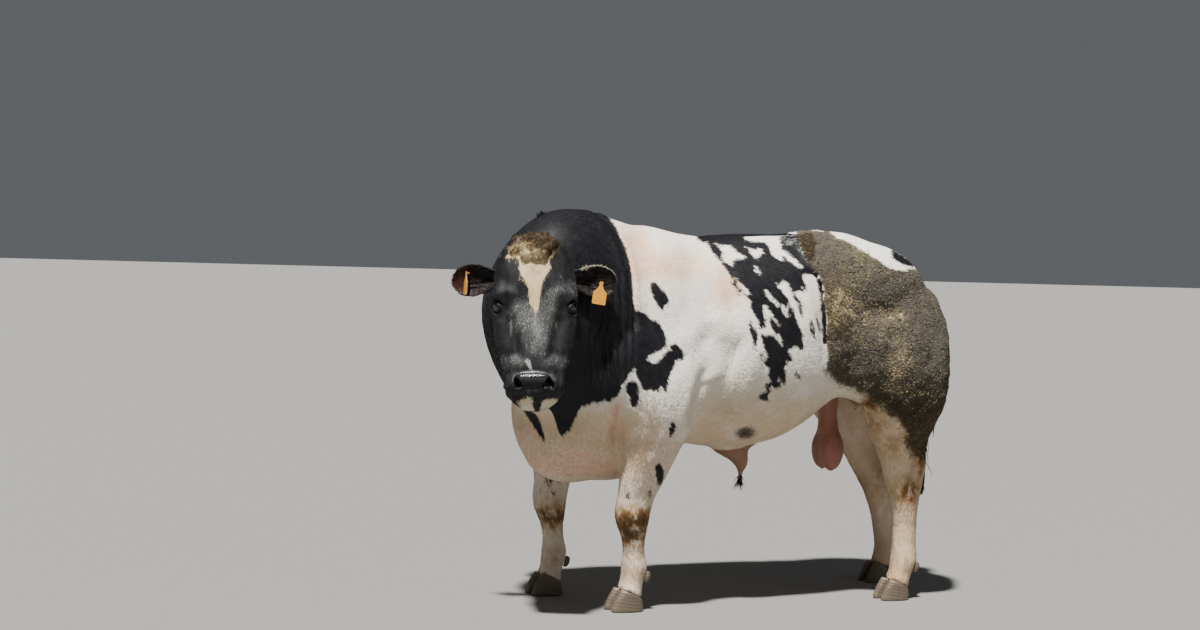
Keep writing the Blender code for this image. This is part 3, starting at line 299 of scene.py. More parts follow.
def eye_frame(sign):
    """Middle of the eyeball, its gaze, and the two axes of its opening, towards corner and up."""
    centre = on_head(EYE_DOWN, sign * EYE_ASIDE, EYE_OUT)
    gaze = unit(HEAD_S * sign * 0.70 + HEAD_W * 0.71)
    corner = HEAD_U * 0.86 + HEAD_W * 0.50
    corner = unit(corner - gaze * (corner @ gaze))
    rise = -HEAD_U + HEAD_S * sign * 0.35
    rise = unit(rise - gaze * (rise @ gaze) - corner * (rise @ corner))
    return centre, gaze, corner, rise


def in_eye(where, sign):
    """Places along the opening of an eye, up from it, and out along its gaze."""
    centre, gaze, corner, rise = eye_frame(sign)
    rel = where - centre
    return rel @ corner, rel @ rise, rel @ gaze


LID_THICKNESS, UPPER_LID, LOWER_LID, OPENING_LONG = 0.0032, 0.0114, 0.0098, 0.0205
EYE_LONG, EYE_HIGH = 0.060, 0.052
# Folds of the upper lid and the bag below it: how far from the edge, depth and width
LID_FOLDS = ((0.0075, 0.0022, 0.0022), (0.0135, 0.0018, 0.0026))


def sculpt_eyes(where):
    """Lids with a free edge over the eyeball, and folds round them."""
    for sign in (-1, 1):
        a, b, g = in_eye(where, sign)
        away = np.hypot(a / EYE_LONG, b / EYE_HIGH)
        span = np.clip(1 - (a / OPENING_LONG) ** 2, 0, 1)
        edge = np.where(b > 0, b - UPPER_LID * span**0.75, -b - LOWER_LID * span**0.9)
        beyond = np.abs(a) - OPENING_LONG
        edge = np.where(beyond > 0, np.hypot(beyond, b), edge)
        ball = np.sqrt(np.clip(EYEBALL_RADIUS**2 - a**2 - b**2, 0, None))
        lid_radius = EYEBALL_RADIUS + LID_THICKNESS + 0.0012 * (b > 0)
        lid = np.sqrt(np.clip(lid_radius**2 - (a / 1.18) ** 2 - (b / 1.05) ** 2, 0, None))
        inside = smooth(-edge, -0.0003, 0.0012)
        hug = 1 - smooth(edge, 0.006, 0.022)
        height = g * (1 - hug) + np.where(lid > 0, lid, g) * hug
        fade = smooth(span + 0.3, 0.0, 0.6) * (1 - smooth(np.abs(a), 0.024, 0.034))
        for offset, depth, width in LID_FOLDS:
            height -= np.where(b > 0, 1.0, 0.55) * depth * bump(edge - offset, width) * fade
        height += 0.0012 * bump(edge - 0.0022, 0.0022)
        target = height * (1 - inside) + (ball - 0.0045) * inside
        move = np.where((away < 1) & (g > -0.015), target - g, 0.0) * (1 - smooth(away, 0.55, 1.0))
        where = where + np.outer(move, eye_frame(sign)[1])
    return where


MOUTH_LINE = [(0.455, 0.126, -0.085), (0.498, 0.124, -0.064), (0.530, 0.112, -0.044),
              (0.552, 0.080, -0.020), (0.561, 0.040, -0.004), (0.563, 0.000, 0.002)]
MOUTH_LINE += [(u, -s, w) for u, s, w in reversed(MOUTH_LINE[:-1])]
NOSTRIL_DOWN, NOSTRIL_ASIDE, NOSE_MIDDLE = 0.518, 0.053, -0.008


def off_mouth(where):
    return off_line(where, [on_head(*p) for p in MOUTH_LINE])


def wrinkle_zone(where):
    """Where the turned neck is pressed into upright wrinkles."""
    z, y = where[:, 2], where[:, 1]
    across = where[:, 0] * math.cos(VIEW_TURN) - y * math.sin(VIEW_TURN)
    return smooth(z, 0.78, 0.90) * (1 - smooth(z, 1.16, 1.30)) * bump(across + 0.03, 0.075) * (y < 0)


def fine_zone(where, level):
    """Where the skin needs small faces: lids, nostrils, mouth, and at level 0 the neck's wrinkles."""
    u, s, w = in_head(where)
    eye_reach, nostril_far, mouth_reach = ((0.046, 0.044, 0.022), (0.029, 0.028, 0.007))[level]
    out = off_mouth(where) < mouth_reach
    for sign in (-1, 1):
        for middle, reach in ((on_head(EYE_DOWN, sign * EYE_ASIDE, EYE_OUT), eye_reach),
                              (on_head(0.524, sign * 0.063 - 0.008, 0.0), nostril_far)):
            out |= np.linalg.norm(where - middle, axis=1) < reach
    if level == 0:
        out |= (u > 0.465) & (u < 0.57) & (w > -0.03) & (np.abs(s) < 0.10)
        out |= wrinkle_zone(where) > 0.12
    return out


def nostril_reach(u, s):
    """How far a place of the muzzle is from the nearer nostril's middle, 1 at its rim."""
    best = np.full(len(u), 9.0)
    for sign in (-1, 1):
        x, y = u - NOSTRIL_DOWN, (s - NOSE_MIDDLE) * sign - NOSTRIL_ASIDE
        along, across = -x * 0.86 + y * 0.51, x * 0.51 + y * 0.86
        across = across + 13.0 * along**2 - 0.002
        best = np.minimum(best, np.hypot(along / 0.0225, across / 0.0105))
    return best


NOSE_WING = mm(485, 84, 508, 97, 538, 93)


def sculpt_muzzle(where, normals):
    """Nostrils with raised wings, the rounded nose pad, its groove, and the lips."""
    u, s, w = in_head(where)
    reach = nostril_reach(u, s)
    pad = outline_depth(np.stack([s, u], 1), NOSE_PAD)
    wing = off_line(np.stack([u, np.abs(s - NOSE_MIDDLE)], 1), NOSE_WING)
    lift = 0.0120 * smooth(pad, -0.002, 0.016) * bump(u - 0.501, 0.018)
    lift -= 0.0035 * smooth(pad, -0.002, 0.006) * smooth(u, 0.515, 0.545)
    lift -= 0.0012 * bump(pad + 0.005, 0.005) * (u < 0.50)
    lift -= 0.020 * (1 - smooth(reach, 0.50, 1.0))
    lift += 0.0008 * bump(reach - 1.35, 0.30)
    lift -= 0.0035 * bump(wing, 0.006)
    lift -= 0.0030 * bump(s - NOSE_MIDDLE, 0.0026) * smooth(u, 0.515, 0.535) * (u < 0.565)
    lift *= smooth(w, -0.06, -0.03)
    mouth = off_mouth(where)
    lift -= 0.0065 * bump(mouth, 0.0050)
    lift += 0.0030 * bump(mouth - 0.012, 0.007)
    return where + normals * lift[:, None]


# Brows, facial crest, nasal bridge and the hollow beside it: line in aside and u, height, width
FACE_LINES = [
    (mm(74, 212, 94, 196, 114, 198, 130, 214), 0.0055, 0.017),
    (mm(120, 308, 112, 350, 98, 395), 0.0035, 0.016),
    (mm(60, 262, 46, 330, 40, 420), 0.0040, 0.012),
    (mm(84, 305, 74, 350, 66, 410), -0.0075, 0.016),
]
# Eye sockets, temples, forehead, lips and muzzle: middle, reach, height
FACE_LUMPS = [
    (96, 258, 18, 24, -0.0060), (112, 292, 16, 16, -0.0015), (112, 158, 20, 26, -0.0060),
    (48, 150, 26, 42, 0.0050), (58, 462, 26, 24, 0.0040), (90, 532, 22, 22, 0.0050),
]


def sculpt_face(where, normals):
    """Brows, eye sockets, the nasal bridge, the facial crest, temples and the swelling of the muzzle."""
    u, s = in_head(where)[:2]
    aside = np.abs(s)
    flat = np.stack([aside, u], 1)
    lift = np.zeros(len(where))
    for path, height, width in FACE_LINES:
        lift += height * bump(off_line(flat, path), width)
    for *place, height in FACE_LUMPS:
        (out, down), (wide, long) = mm(*place)
        lift += height * bump(aside - out, wide) * bump(u - down, long)
    lift -= 0.0030 * bump(s, 0.014) * bump(u - 0.205, 0.050)
    lift -= 0.0035 * bump(u - 0.424, 0.020) * smooth(aside, 0.020, 0.045)
    front = smooth(normals @ HEAD_W, 0.0, 0.45) * is_head(where)
    return where + normals * (lift * front)[:, None]


# Outlines in side view. Left ones are seen 26 degrees from the front of the flank, so that their first
# number is x cos 26 - y sin 26; the right ones use x. The second number is height.
VIEW_TURN = math.radians(26)
NECK_LEFT = mm(-100, 1560, -78, 1490, -45, 1465, -18, 1437, 6, 1392, 26, 1349, 42, 1306, 51, 1260,
    57, 1206, 63, 1152, 70, 1100, 74, 930, 60, 905, 48, 885, 32, 866, 22, 840, 15, 821, -2, 812,
    -12, 796, -31, 803, -53, 792, -74, 794, -96, 776, -114, 770, -128, 742, -138, 719, -147, 688,
    -165, 669, -187, 658, -205, 664, -217, 684, -229, 712, -245, 742, -300, 762, -333, 768, -500,
    780, -1200, 700, -1200, 1600)
DEWLAP_STRIPE = mm(-333, 790, -333, 766, -305, 751, -285, 736, -269, 717, -257, 695, -249, 666,
    -243, 640, -241, 626, -257, 645, -293, 692, -325, 736, -353, 773, -360, 800)
NECK_RIGHT = mm(-200, 1600, -190, 1474, -150, 1426, -170, 1356, -205, 1278, -190, 1206, -230, 1126,
    -210, 1030, -260, 960, -240, 899, -290, 851, -330, 800, -390, 780, -500, 740, -1200, 700, -1200,
    1600)
CREASE = mm(-190, 1500, -147, 1468, -112, 1430, -110, 1392, -105, 1349, -99, 1306, -98, 1260, -98,
    1206, -96, 1152, -92, 1105, -98, 1040)
SHOULDER = mm(64, 1134, 75, 1134, 90, 1127, 105, 1123, 116, 1113, 128, 1102, 142, 1101, 154, 1088,
    166, 1074, 178, 1056, 186, 1034, 187, 1013, 180, 998, 169, 994, 154, 987, 140, 976, 129, 976,
    122, 969, 115, 962, 126, 951, 138, 940, 152, 947, 167, 958, 173, 973, 188, 984, 198, 995, 201,
    1013, 216, 1015, 227, 1013, 239, 999, 247, 992, 255, 974, 252, 956, 241, 952, 229, 963, 222,
    948, 219, 930, 209, 916, 206, 898, 199, 880, 197, 858, 194, 841, 182, 847, 174, 861, 167, 850,
    168, 836, 157, 843, 146, 842, 134, 853, 120, 846, 102, 841, 101, 860, 89, 885, 77, 915, 65, 932,
    28, 953, 21, 1116)
SPOTS_LEFT = [
    mm(119, 1232, 130, 1240, 141, 1233, 156, 1219, 172, 1201, 187, 1183, 191, 1172, 184, 1158, 174,
        1147, 167, 1132, 155, 1143, 140, 1164, 128, 1182, 120, 1203),
    mm(217, 732, 229, 724, 234, 705, 228, 674, 213, 671, 209, 690, 214, 717),
    mm(166, 560, 185, 572, 203, 545, 200, 492, 184, 480, 176, 515),
    mm(146, 462, 158, 470, 162, 448, 150, 436),
    mm(1064, 1384, 1080, 1376, 1098, 1366, 1120, 1352, 1160, 1340, 1150, 1316, 1107, 1325, 1078,
        1338, 1058, 1353),
    mm(495, 1105, 503, 1102, 515, 1080, 524, 1061, 532, 1036, 529, 1017, 522, 1013, 523, 995, 511,
        1002, 507, 1013, 512, 1032, 501, 1058, 496, 1083),
    mm(535, 987, 547, 982, 555, 969, 552, 954, 544, 961),
    mm(729, 1105, 737, 1108, 746, 1090, 755, 1067, 756, 1044, 748, 1039, 739, 1056, 733, 1078),
    mm(754, 1116, 762, 1115, 771, 1100, 780, 1081, 781, 1058, 772, 1066, 763, 1086),
    mm(672, 904, 685, 896, 691, 919, 699, 915, 705, 888, 689, 889),
]
LOIN = mm(609, 1409, 640, 1450, 740, 1450, 760, 1395, 739, 1324, 673, 1337, 622, 1365)
SPOT_IN_WHITE = mm(43, 859, 53, 877, 67, 883, 82, 874, 90, 860, 91, 834, 100, 812, 93, 797, 79, 779,
    64, 788, 56, 811, 59, 826, 48, 829, 42, 844)
WHITE_RIM = mm(40, 836, 42, 866, 52, 892, 62, 914, 73, 914, 85, 896, 93, 871, 94, 845, 100, 808, 87,
    762, 51, 761)
RIB_LEFT = mm(270, 1440, 292, 1392, 311, 1380, 329, 1382, 340, 1363, 351, 1345, 366, 1331, 378,
    1317, 389, 1303, 400, 1289, 412, 1275, 420, 1257, 424, 1239, 435, 1228, 443, 1218, 443, 1199,
    455, 1194, 462, 1207, 474, 1193, 486, 1186, 494, 1175, 498, 1157, 506, 1138, 514, 1124, 522,
    1117, 530, 1102, 535, 1075, 528, 1065, 540, 1054, 544, 1036, 553, 1017, 557, 1002, 566, 984,
    570, 969, 563, 961, 560, 950, 568, 935, 581, 924, 578, 897, 588, 878, 577, 866, 565, 859, 575,
    839, 560, 832, 543, 816, 550, 806, 574, 800, 590, 796, 580, 816, 587, 829, 598, 835, 586, 851,
    593, 858, 613, 847, 629, 848, 628, 858, 615, 881, 616, 897, 625, 881, 636, 862, 647, 870, 651,
    893, 648, 912, 639, 931, 646, 942, 649, 957, 662, 950, 669, 965, 664, 980, 648, 988, 651, 999,
    670, 1007, 686, 1009, 699, 995, 712, 999, 709, 1018, 700, 1037, 707, 1029, 717, 1031, 712, 1044,
    703, 1063, 695, 1082, 682, 1104, 673, 1123, 663, 1149, 668, 1167, 678, 1149, 687, 1134, 699,
    1119, 709, 1127, 704, 1149, 696, 1168, 687, 1190, 671, 1208, 679, 1221, 693, 1208, 703, 1212,
    699, 1231, 713, 1220, 715, 1235, 703, 1257, 703, 1275, 726, 1280, 740, 1310, 700, 1345, 660,
    1350, 625, 1345, 602, 1335, 587, 1342, 575, 1360, 572, 1378, 557, 1391, 533, 1394, 506, 1393,
    483, 1396, 473, 1404, 464, 1440)
WHITE_STREAKS = [
    mm(544, 1161, 559, 1162, 567, 1147, 583, 1129, 600, 1107, 612, 1085, 604, 1088, 588, 1110, 576,
        1123, 568, 1114, 573, 1095, 581, 1077, 594, 1062, 606, 1047, 607, 1034, 590, 1047, 574,
        1056, 559, 1051, 540, 1054, 528, 1065, 535, 1075, 550, 1073, 558, 1080, 555, 1102, 553,
        1125, 548, 1143),
    mm(360, 1382, 379, 1372, 394, 1376, 417, 1373, 432, 1363, 444, 1350, 459, 1345, 474, 1333, 470,
        1324, 451, 1330, 439, 1328, 424, 1315, 429, 1299, 416, 1308, 400, 1313, 385, 1328, 390,
        1350, 375, 1366),
    mm(478, 1374, 498, 1365, 517, 1362, 533, 1368, 544, 1368, 544, 1352, 528, 1336, 520, 1327, 509,
        1341, 494, 1354),
    mm(512, 1303, 524, 1298, 533, 1282, 527, 1272, 515, 1284),
    mm(433, 1258, 450, 1245, 466, 1231, 483, 1217, 495, 1200, 484, 1195, 468, 1209, 448, 1227),
    mm(550, 1220, 563, 1215, 576, 1200, 592, 1182, 608, 1167, 602, 1160, 585, 1172, 572, 1183, 560,
        1194),
    mm(590, 1251, 612, 1240, 624, 1250, 636, 1231, 652, 1217, 668, 1203, 658, 1198, 670, 1178, 686,
        1156, 695, 1136, 680, 1139, 668, 1158, 657, 1147, 643, 1162, 650, 1182, 638, 1196, 622,
        1212, 606, 1228),
    mm(624, 1255, 637, 1243, 650, 1227, 661, 1212, 652, 1206, 638, 1221, 626, 1237),
    mm(615, 1165, 630, 1161, 640, 1141, 648, 1120, 633, 1124, 620, 1141),
    mm(607, 1061, 619, 1045, 625, 1012, 614, 1023, 604, 1043),
    mm(572, 1371, 587, 1372, 603, 1357, 616, 1341, 627, 1326, 610, 1328, 594, 1336, 581, 1352),
    mm(624, 1366, 642, 1354, 659, 1340, 674, 1329, 689, 1315, 702, 1300, 683, 1302, 662, 1317, 643,
        1331, 628, 1346),
]
# Muscle edges, folds and hollows of the flank: line, height in metres and half width
RELIEF = [
    (mm(180, 890, 212, 934, 240, 968, 276, 998, 313, 1018, 358, 1030, 404, 1016, 446, 1000, 483,
        1020), -0.005, 0.040),
    (mm(150, 970, 200, 1020, 276, 1062, 358, 1090, 446, 1070), 0.006, 0.055),
    (mm(278, 949, 324, 948, 369, 956, 440, 979), -0.008, 0.055),
    (mm(345, 882, 368, 825, 382, 745), -0.012, 0.048),
    (mm(465, 1024, 446, 976, 434, 927, 417, 881, 405, 835, 397, 785), -0.007, 0.022),
    (mm(540, 1030, 520, 940, 500, 860, 490, 780), 0.008, 0.045),
    (mm(326, 985, 313, 937, 300, 883, 288, 827, 275, 772, 263, 715, 247, 666), 0.006, 0.024),
    (mm(350, 930, 328, 883, 316, 827, 302, 772, 290, 715), -0.007, 0.020),
    (mm(286, 1311, 317, 1247, 346, 1182, 367, 1120, 373, 1070), 0.007, 0.045),
    (mm(400, 1290, 425, 1210, 440, 1120), -0.005, 0.030),
    (mm(1066, 1121, 1074, 1057, 1068, 1000, 1055, 942, 1044, 883, 1038, 823, 1028, 770), -0.010,
        0.034),
    (mm(1115, 1050, 1110, 960, 1095, 870), 0.003, 0.040),
    (mm(1020, 1050, 1010, 960, 995, 870), 0.002, 0.040),
    (mm(1201, 1191, 1228, 1078, 1219, 964, 1203, 868), -0.005, 0.042),
    (mm(800, 1013, 844, 947, 910, 896, 971, 859, 1024, 810), 0.006, 0.028),
    (mm(860, 1340, 900, 1350, 960, 1335), 0.008, 0.050),
    (mm(16, 820, 26, 748, 22, 686, 17, 626), -0.024, 0.022),
    (mm(60, 800, 68, 740, 64, 686, 58, 626), 0.007, 0.030),
    (mm(101, 789, 125, 734, 143, 678, 138, 620), -0.006, 0.012),
    (mm(178, 717, 162, 659, 147, 600), -0.006, 0.012),
]
CREASE_LINE = mm(700, 1296, 739, 1289, 759, 1273, 771, 1243, 780, 1213, 783, 1183, 786, 1153, 789,
    1123, 794, 1085, 798, 1054, 799, 1024)
RIGHT_BLACK = [
    mm(-260, 1160, -180, 1180, -120, 1120, -70, 1090, -50, 1020, -90, 960, -100, 900, -140, 850,
        -180, 880, -220, 830, -290, 860, -360, 980),
    mm(310, 1480, 330, 1380, 300, 1330, 360, 1290, 350, 1230, 400, 1215, 410, 1150, 450, 1170, 470,
        1080, 500, 1110, 530, 1030, 560, 1075, 590, 990, 640, 960, 650, 1050, 700, 1080, 690, 1160,
        730, 1210, 720, 1290, 770, 1310, 760, 1380, 790, 1480),
    mm(60, 1260, 90, 1270, 120, 1200, 110, 1150, 80, 1170),
    mm(420, 860, 450, 900, 490, 850, 500, 790, 460, 800),
    mm(180, 980, 200, 990, 230, 930, 205, 910),
    mm(-160, 500, -130, 520, -110, 470, -140, 440),
    mm(1080, 620, 1110, 640, 1150, 560, 1130, 520),
]
RIGHT_STREAKS = [
    mm(400, 1330, 430, 1345, 480, 1270, 470, 1240, 430, 1280),
    mm(520, 1260, 545, 1265, 600, 1150, 590, 1110, 550, 1170),
    mm(560, 1360, 590, 1365, 640, 1290, 625, 1270),
    mm(640, 1200, 660, 1205, 690, 1120, 670, 1100),
]
MUD_LEFT = mm(660, 1460, 690, 1400, 715, 1335, 742, 1296, 771, 1272, 789, 1228, 794, 1176, 800,
    1108, 808, 1032, 815, 974, 810, 909, 864, 868, 913, 856, 978, 831, 1004, 800, 1034, 787, 1058,
    765, 1090, 747, 1124, 719, 1149, 679, 1161, 620, 1183, 582, 1300, 560, 1420, 800, 1450, 1100,
    1400, 1330, 1250, 1300, 1180, 1305, 1142, 1309, 1109, 1301, 1076, 1300, 1043, 1311, 1011, 1333,
    980, 1350, 949, 1368, 919, 1382, 888, 1400, 857, 1410, 832, 1423, 800, 1460)
MUD_RIGHT = mm(800, 1450, 820, 1330, 850, 1240, 840, 1100, 870, 1000, 960, 930, 1030, 860, 1100,
    800, 1220, 700, 1340, 760, 1440, 900, 1440, 1100, 1350, 1290, 1230, 1300, 1120, 1350, 1020,
    1395, 920, 1430)
# Middle, reach and tone of lighter and darker places in the mud, in the left and right systems; the darker
# place at (0.970, 0.930) is painted shadow
MUD_TONES_AND_SHADE = [
    ((0.855, 1.150), (0.085, 0.115), 1.00), ((1.095, 0.950), (0.048, 0.095), 0.95),
    ((1.058, 1.135), (0.055, 0.045), 0.90), ((0.920, 1.362), (0.090, 0.030), 0.60),
    ((1.030, 1.220), (0.060, 0.055), -0.90),
    ((1.230, 1.000), (0.100, 0.240), -0.55), ((0.970, 0.930), (0.080, 0.060), -0.90),
    ((1.130, 0.775), (0.110, 0.045), -1.00), ((0.790, 1.350), (0.090, 0.080), -0.70),
]
# The nose pad and the blaze, in s and u
NOSE_PAD = mm(-63, 492, -52, 483, -32, 479, -8, 477, 16, 479, 36, 483, 47, 491, 48, 506, 42, 524,
    32, 541, 16, 549, -8, 551, -32, 549, -46, 542, -58, 526, -64, 508)
BLAZE = mm(-105, 78, -94, 62, -89, 46, -74, 38, -60, 18, -33, 0, -5, -10, 27, -10, 60, 10, 64, 40,
    52, 64, 48, 94, 54, 116, 38, 140, 27, 159, 20, 184, 17, 208, 14, 236, 10, 261, 3, 274, -7, 257,
    -18, 240, -22, 219, -22, 195, -29, 173, -40, 155, -50, 137, -57, 116, -55, 94, -66, 77, -82, 77)
POLL_DARK = mm(-86, 32, -68, 17, -37, 0, -1, -18, 34, -30, 70, -45, 92, 0, 84, 34, 73, 54, 56, 70,
    37, 72, 18, 58, 2, 42, -18, 26, -38, 14, -58, 20)
ROAN_FACE = mm(-81, 246, -53, 229, -25, 240, 3, 264, 17, 229, 45, 204, 70, 193, 80, 228, 63, 270,
    56, 305, 46, 334, 39, 369, 22, 398, 4, 412, -13, 405, -24, 380, -35, 352, -52, 334, -74, 306,
    -81, 271)
NOSE_SPOT = mm(-34, 444, -26, 437, -18, 440, -14, 456, -9, 474, -17, 470, -24, 458)
CHIN_WHITE = mm(-58, 580, -40, 572, -16, 567, -6, 580, 4, 632, 18, 632, 26, 580, 44, 574, 65, 570,
    84, 574, 78, 596, 50, 605, 34, 602, 20, 640, -30, 640)
# Middle, reach and depth of the stains
STAINS = [
    ((-0.010, -0.235, 0.350), (0.090, 0.12, 0.060), 1.90),
    ((-0.005, -0.230, 0.302), (0.085, 0.12, 0.060), 1.80),
    ((0.000, -0.225, 0.225), (0.060, 0.09, 0.050), 0.70),
    ((-0.150, 0.170, 0.310), (0.085, 0.12, 0.060), 1.70),
    ((0.000, -0.200, 0.150), (0.07, 0.10, 0.05), 0.75),
    ((-0.150, 0.170, 0.150), (0.07, 0.10, 0.05), 0.60),
    ((0.965, -0.285, 0.765), (0.038, 0.12, 0.060), 1.55),
    ((1.000, -0.280, 0.680), (0.045, 0.12, 0.070), 1.15),
    ((1.090, -0.280, 0.625), (0.070, 0.14, 0.065), 0.80),
    ((1.235, -0.260, 0.560), (0.045, 0.10, 0.075), 1.50),
    ((1.200, -0.240, 0.440), (0.055, 0.10, 0.060), 1.70),
    ((1.170, -0.200, 0.120), (0.08, 0.10, 0.05), 0.70),
    ((1.360, 0.230, 0.560), (0.09, 0.14, 0.16), 0.90),
    ((1.180, 0.300, 0.740), (0.09, 0.14, 0.10), 0.80),
    ((1.300, 0.230, 0.440), (0.06, 0.10, 0.070), 1.50),
]
# Small flecks down both forelegs
FLECKS = [
    (-0.175, 0.150, 0.520), (-0.160, 0.165, 0.500), (-0.185, 0.175, 0.485), (-0.150, 0.140, 0.465),
    (-0.175, 0.160, 0.450), (-0.190, 0.150, 0.430), (-0.160, 0.180, 0.425), (-0.150, 0.130, 0.545),
    (-0.180, 0.185, 0.405), (-0.168, 0.142, 0.400), (-0.030, -0.235, 0.470), (-0.020, -0.215, 0.495),
    (0.010, -0.250, 0.455), (-0.035, -0.250, 0.440),
]


def side_places(where):
    """Places seen from the left and from the right, and how far each point is past the middle."""
    x, y, z = where.T
    left = np.stack([x * math.cos(VIEW_TURN) - y * math.sin(VIEW_TURN), z], 1)
    return left, where[:, [0, 2]], y


def face_places(where):
    """Places on the flat of the face, for its outlines."""
    u, s = in_head(where)[:2]
    return np.stack([s, u], 1)


def beyond_neck(where):
    """How far a place lies to the right of the neck's own middle, which turns with the head."""
    return where[:, 1] - np.interp(where[:, 0], [-0.60, -0.10, 0.15], [-0.42, -0.05, 0.0])


def is_head(where):
    u, w = in_head(where)[::2]
    return (from_head(where) < HEAD_SIZE) & (w > -0.26 - 0.2 * smooth(u, 0.3, 0.6)) & (where[:, 0] < -0.25)


FLECK_RADIUS, FLECK_STRETCH = 0.0065, (0.35, 0.7, 0.7)


def black_depth(where):
    """Signed distance in metres to the edge of the black coat, positive in the black, with a black line
    painted as the shade of the flank's crease.
    """
    left, right, y = side_places(where)
    past_left, past_right = np.maximum(y - 0.01, 0) * 1.5, np.maximum(-0.01 - y, 0) * 1.5
    turned = smooth(beyond_neck(where), 0.0, 0.10)
    depth = blend(outline_depth(left, NECK_LEFT), outline_depth(right, NECK_RIGHT), turned)
    for outline in [SHOULDER, RIB_LEFT, LOIN, *SPOTS_LEFT]:
        depth = np.maximum(depth, outline_depth(left, outline) - past_left)
    for outline in [*WHITE_STREAKS, WHITE_RIM]:
        depth = np.minimum(depth, -outline_depth(left, outline) + past_left)
    depth = np.maximum(depth, outline_depth(left, SPOT_IN_WHITE) - past_left)
    # A black line along the flank's crease: painted shade of the crease
    depth = np.maximum(depth, (0.0100 - off_line(left, CREASE_LINE)) * 2.5 - past_left)
    for outline in RIGHT_BLACK:
        depth = np.maximum(depth, outline_depth(right, outline) - past_right)
    for outline in RIGHT_STREAKS:
        depth = np.minimum(depth, -outline_depth(right, outline) + past_right)
    front, u = is_head(where), in_head(where)[0]
    chin = np.minimum(0.1, -outline_depth(face_places(where), CHIN_WHITE))
    depth = np.where(front & (u < 0.62), chin, depth)
    low = (where[:, 2] < 0.81) & (y < 0.02) & ~front
    depth = np.where(low, np.maximum(depth, outline_depth(left, DEWLAP_STRIPE)), depth)
    for fleck in FLECKS:
        away = np.linalg.norm((where - np.array(fleck)) * np.array(FLECK_STRETCH), axis=1)
        depth = np.maximum(depth, FLECK_RADIUS - away)
    return depth


def mud_amount(where):
    left, right, y = side_places(where)
    turned = smooth(y, -0.03, 0.03)
    depth = blend(outline_depth(left, MUD_LEFT), outline_depth(right, MUD_RIGHT), turned)
    fade = 0.012 + 0.050 * smooth(1.02 - where[:, 2], 0.0, 0.14)
    amount = smooth(depth, -fade - 0.006, fade * 0.7 + 0.004)
    tail = smooth(where[:, 0], 1.16, 1.24) * smooth(where[:, 2], 0.62, 0.80) * (np.abs(y) < 0.07)
    return np.maximum(amount, 0.62 * tail)


def near_point(where, point, reach):
    return np.exp(-np.sum(((where - np.array(point)) / np.array(reach)) ** 2, axis=1))


def mud_tone_and_shade(where):
    """Lighter and darker places in the mud, and one painted shadow among the darker places."""
    left, right, y = side_places(where)
    flat = np.where((y < 0)[:, None], left, right + np.array([-0.12, 0.0]))
    return sum(tone * near_point(flat, middle, reach) for middle, reach, tone in MUD_TONES_AND_SHADE)


def warm_and_shade_amount(where):
    """Pink and tan skin shining through the white coat, and painted shade on the brisket, along its crease
    by the near foreleg and under the belly.
    """
    x, y, z = where.T
    back = smooth(x, 0.9, 1.1)
    x = x * math.cos(VIEW_TURN) + np.abs(y) * math.sin(VIEW_TURN)
    out = 1.4 * bump(x - 0.055, 0.065) * bump(z - 1.31, 0.15)
    out += 1.2 * bump(x - 0.22, 0.11) * bump(z - 1.295, 0.055)
    out += 1.2 * bump(x - 0.41, 0.060) * bump(z - 1.22, 0.075)
    # brisket, the crease by the near foreleg and the tops of the forelegs: tan skin and painted shade
    out += 0.5 * smooth(0.76 - z, 0.0, 0.12) * smooth(z, 0.44, 0.54) * smooth(0.06 - x, 0.0, 0.06)
    out += 0.9 * bump(x - 0.018, 0.026) * smooth(z, 0.60, 0.66) * smooth(0.84 - z, 0.0, 0.06)
    out += 0.5 * smooth(0.80 - z, 0.0, 0.16) * smooth(z, 0.40, 0.54) * smooth(0.30 - x, 0.0, 0.2)
    # under the belly: tan skin and painted shade
    out += 0.55 * smooth(0.86 - z, 0.0, 0.20) * bump(x - 0.50, 0.30)
    out += 0.60 * bump(x - 0.80, 0.05) * bump(z - 1.16, 0.12)
    out += 0.55 * back * smooth(0.80 - z, 0.0, 0.1)
    return np.clip(out, 0, 1)


def cream_and_shade_amount(where):
    """How yellowed and darkened the white coat is low on the flank, on the brisket, the legs and under the
    head: yellowed hair, and painted shade.
    """
    x, z = where[:, 0], where[:, 2]
    brisket = smooth(0.84 - z, 0.0, 0.14) * smooth(z, 0.44, 0.54) * smooth(0.04 - x, 0.0, 0.06)
    parts = [smooth(0.98 - z, 0.0, 0.26) * smooth(x, 0.00, 0.30), 0.55 * smooth(0.60 - z, 0.0, 0.25),
             0.55 * smooth(0.80 - z, 0.0, 0.20), brisket, 0.9 * is_head(where)]
    return np.max(parts, axis=0)


def stain_amount(where):
    """Orange-brown stains on knees, hocks and stifles."""
    return np.max([depth * near_point(where, point, reach) for point, reach, depth in STAINS], axis=0)


CREAM, TAN, BROWN = (0.66, 0.53, 0.32), (0.38, 0.245, 0.092), (0.030, 0.018, 0.0075)
# The third colour is painted shade, along the crease between the brisket and the near foreleg.
SCROTUM_PINK, SHEATH_PINK, FOLD_PAINTED_SHADE = (0.34, 0.150, 0.105), (0.30, 0.155, 0.100), (0.26, 0.165, 0.100)
NOSE_BLACK, LIP_BLACK = (0.0110, 0.0085, 0.0140), (0.0032, 0.0030, 0.0040)
# The first of these is painted shade inside the nostrils.
NOSTRIL_PAINTED_SHADE, LID_BLACK = (0.003, 0.0025, 0.003), (0.0030, 0.0027, 0.0027)
BELLY_DARK, TAIL_BLACK = (0.060, 0.050, 0.040), (0.010, 0.009, 0.010)


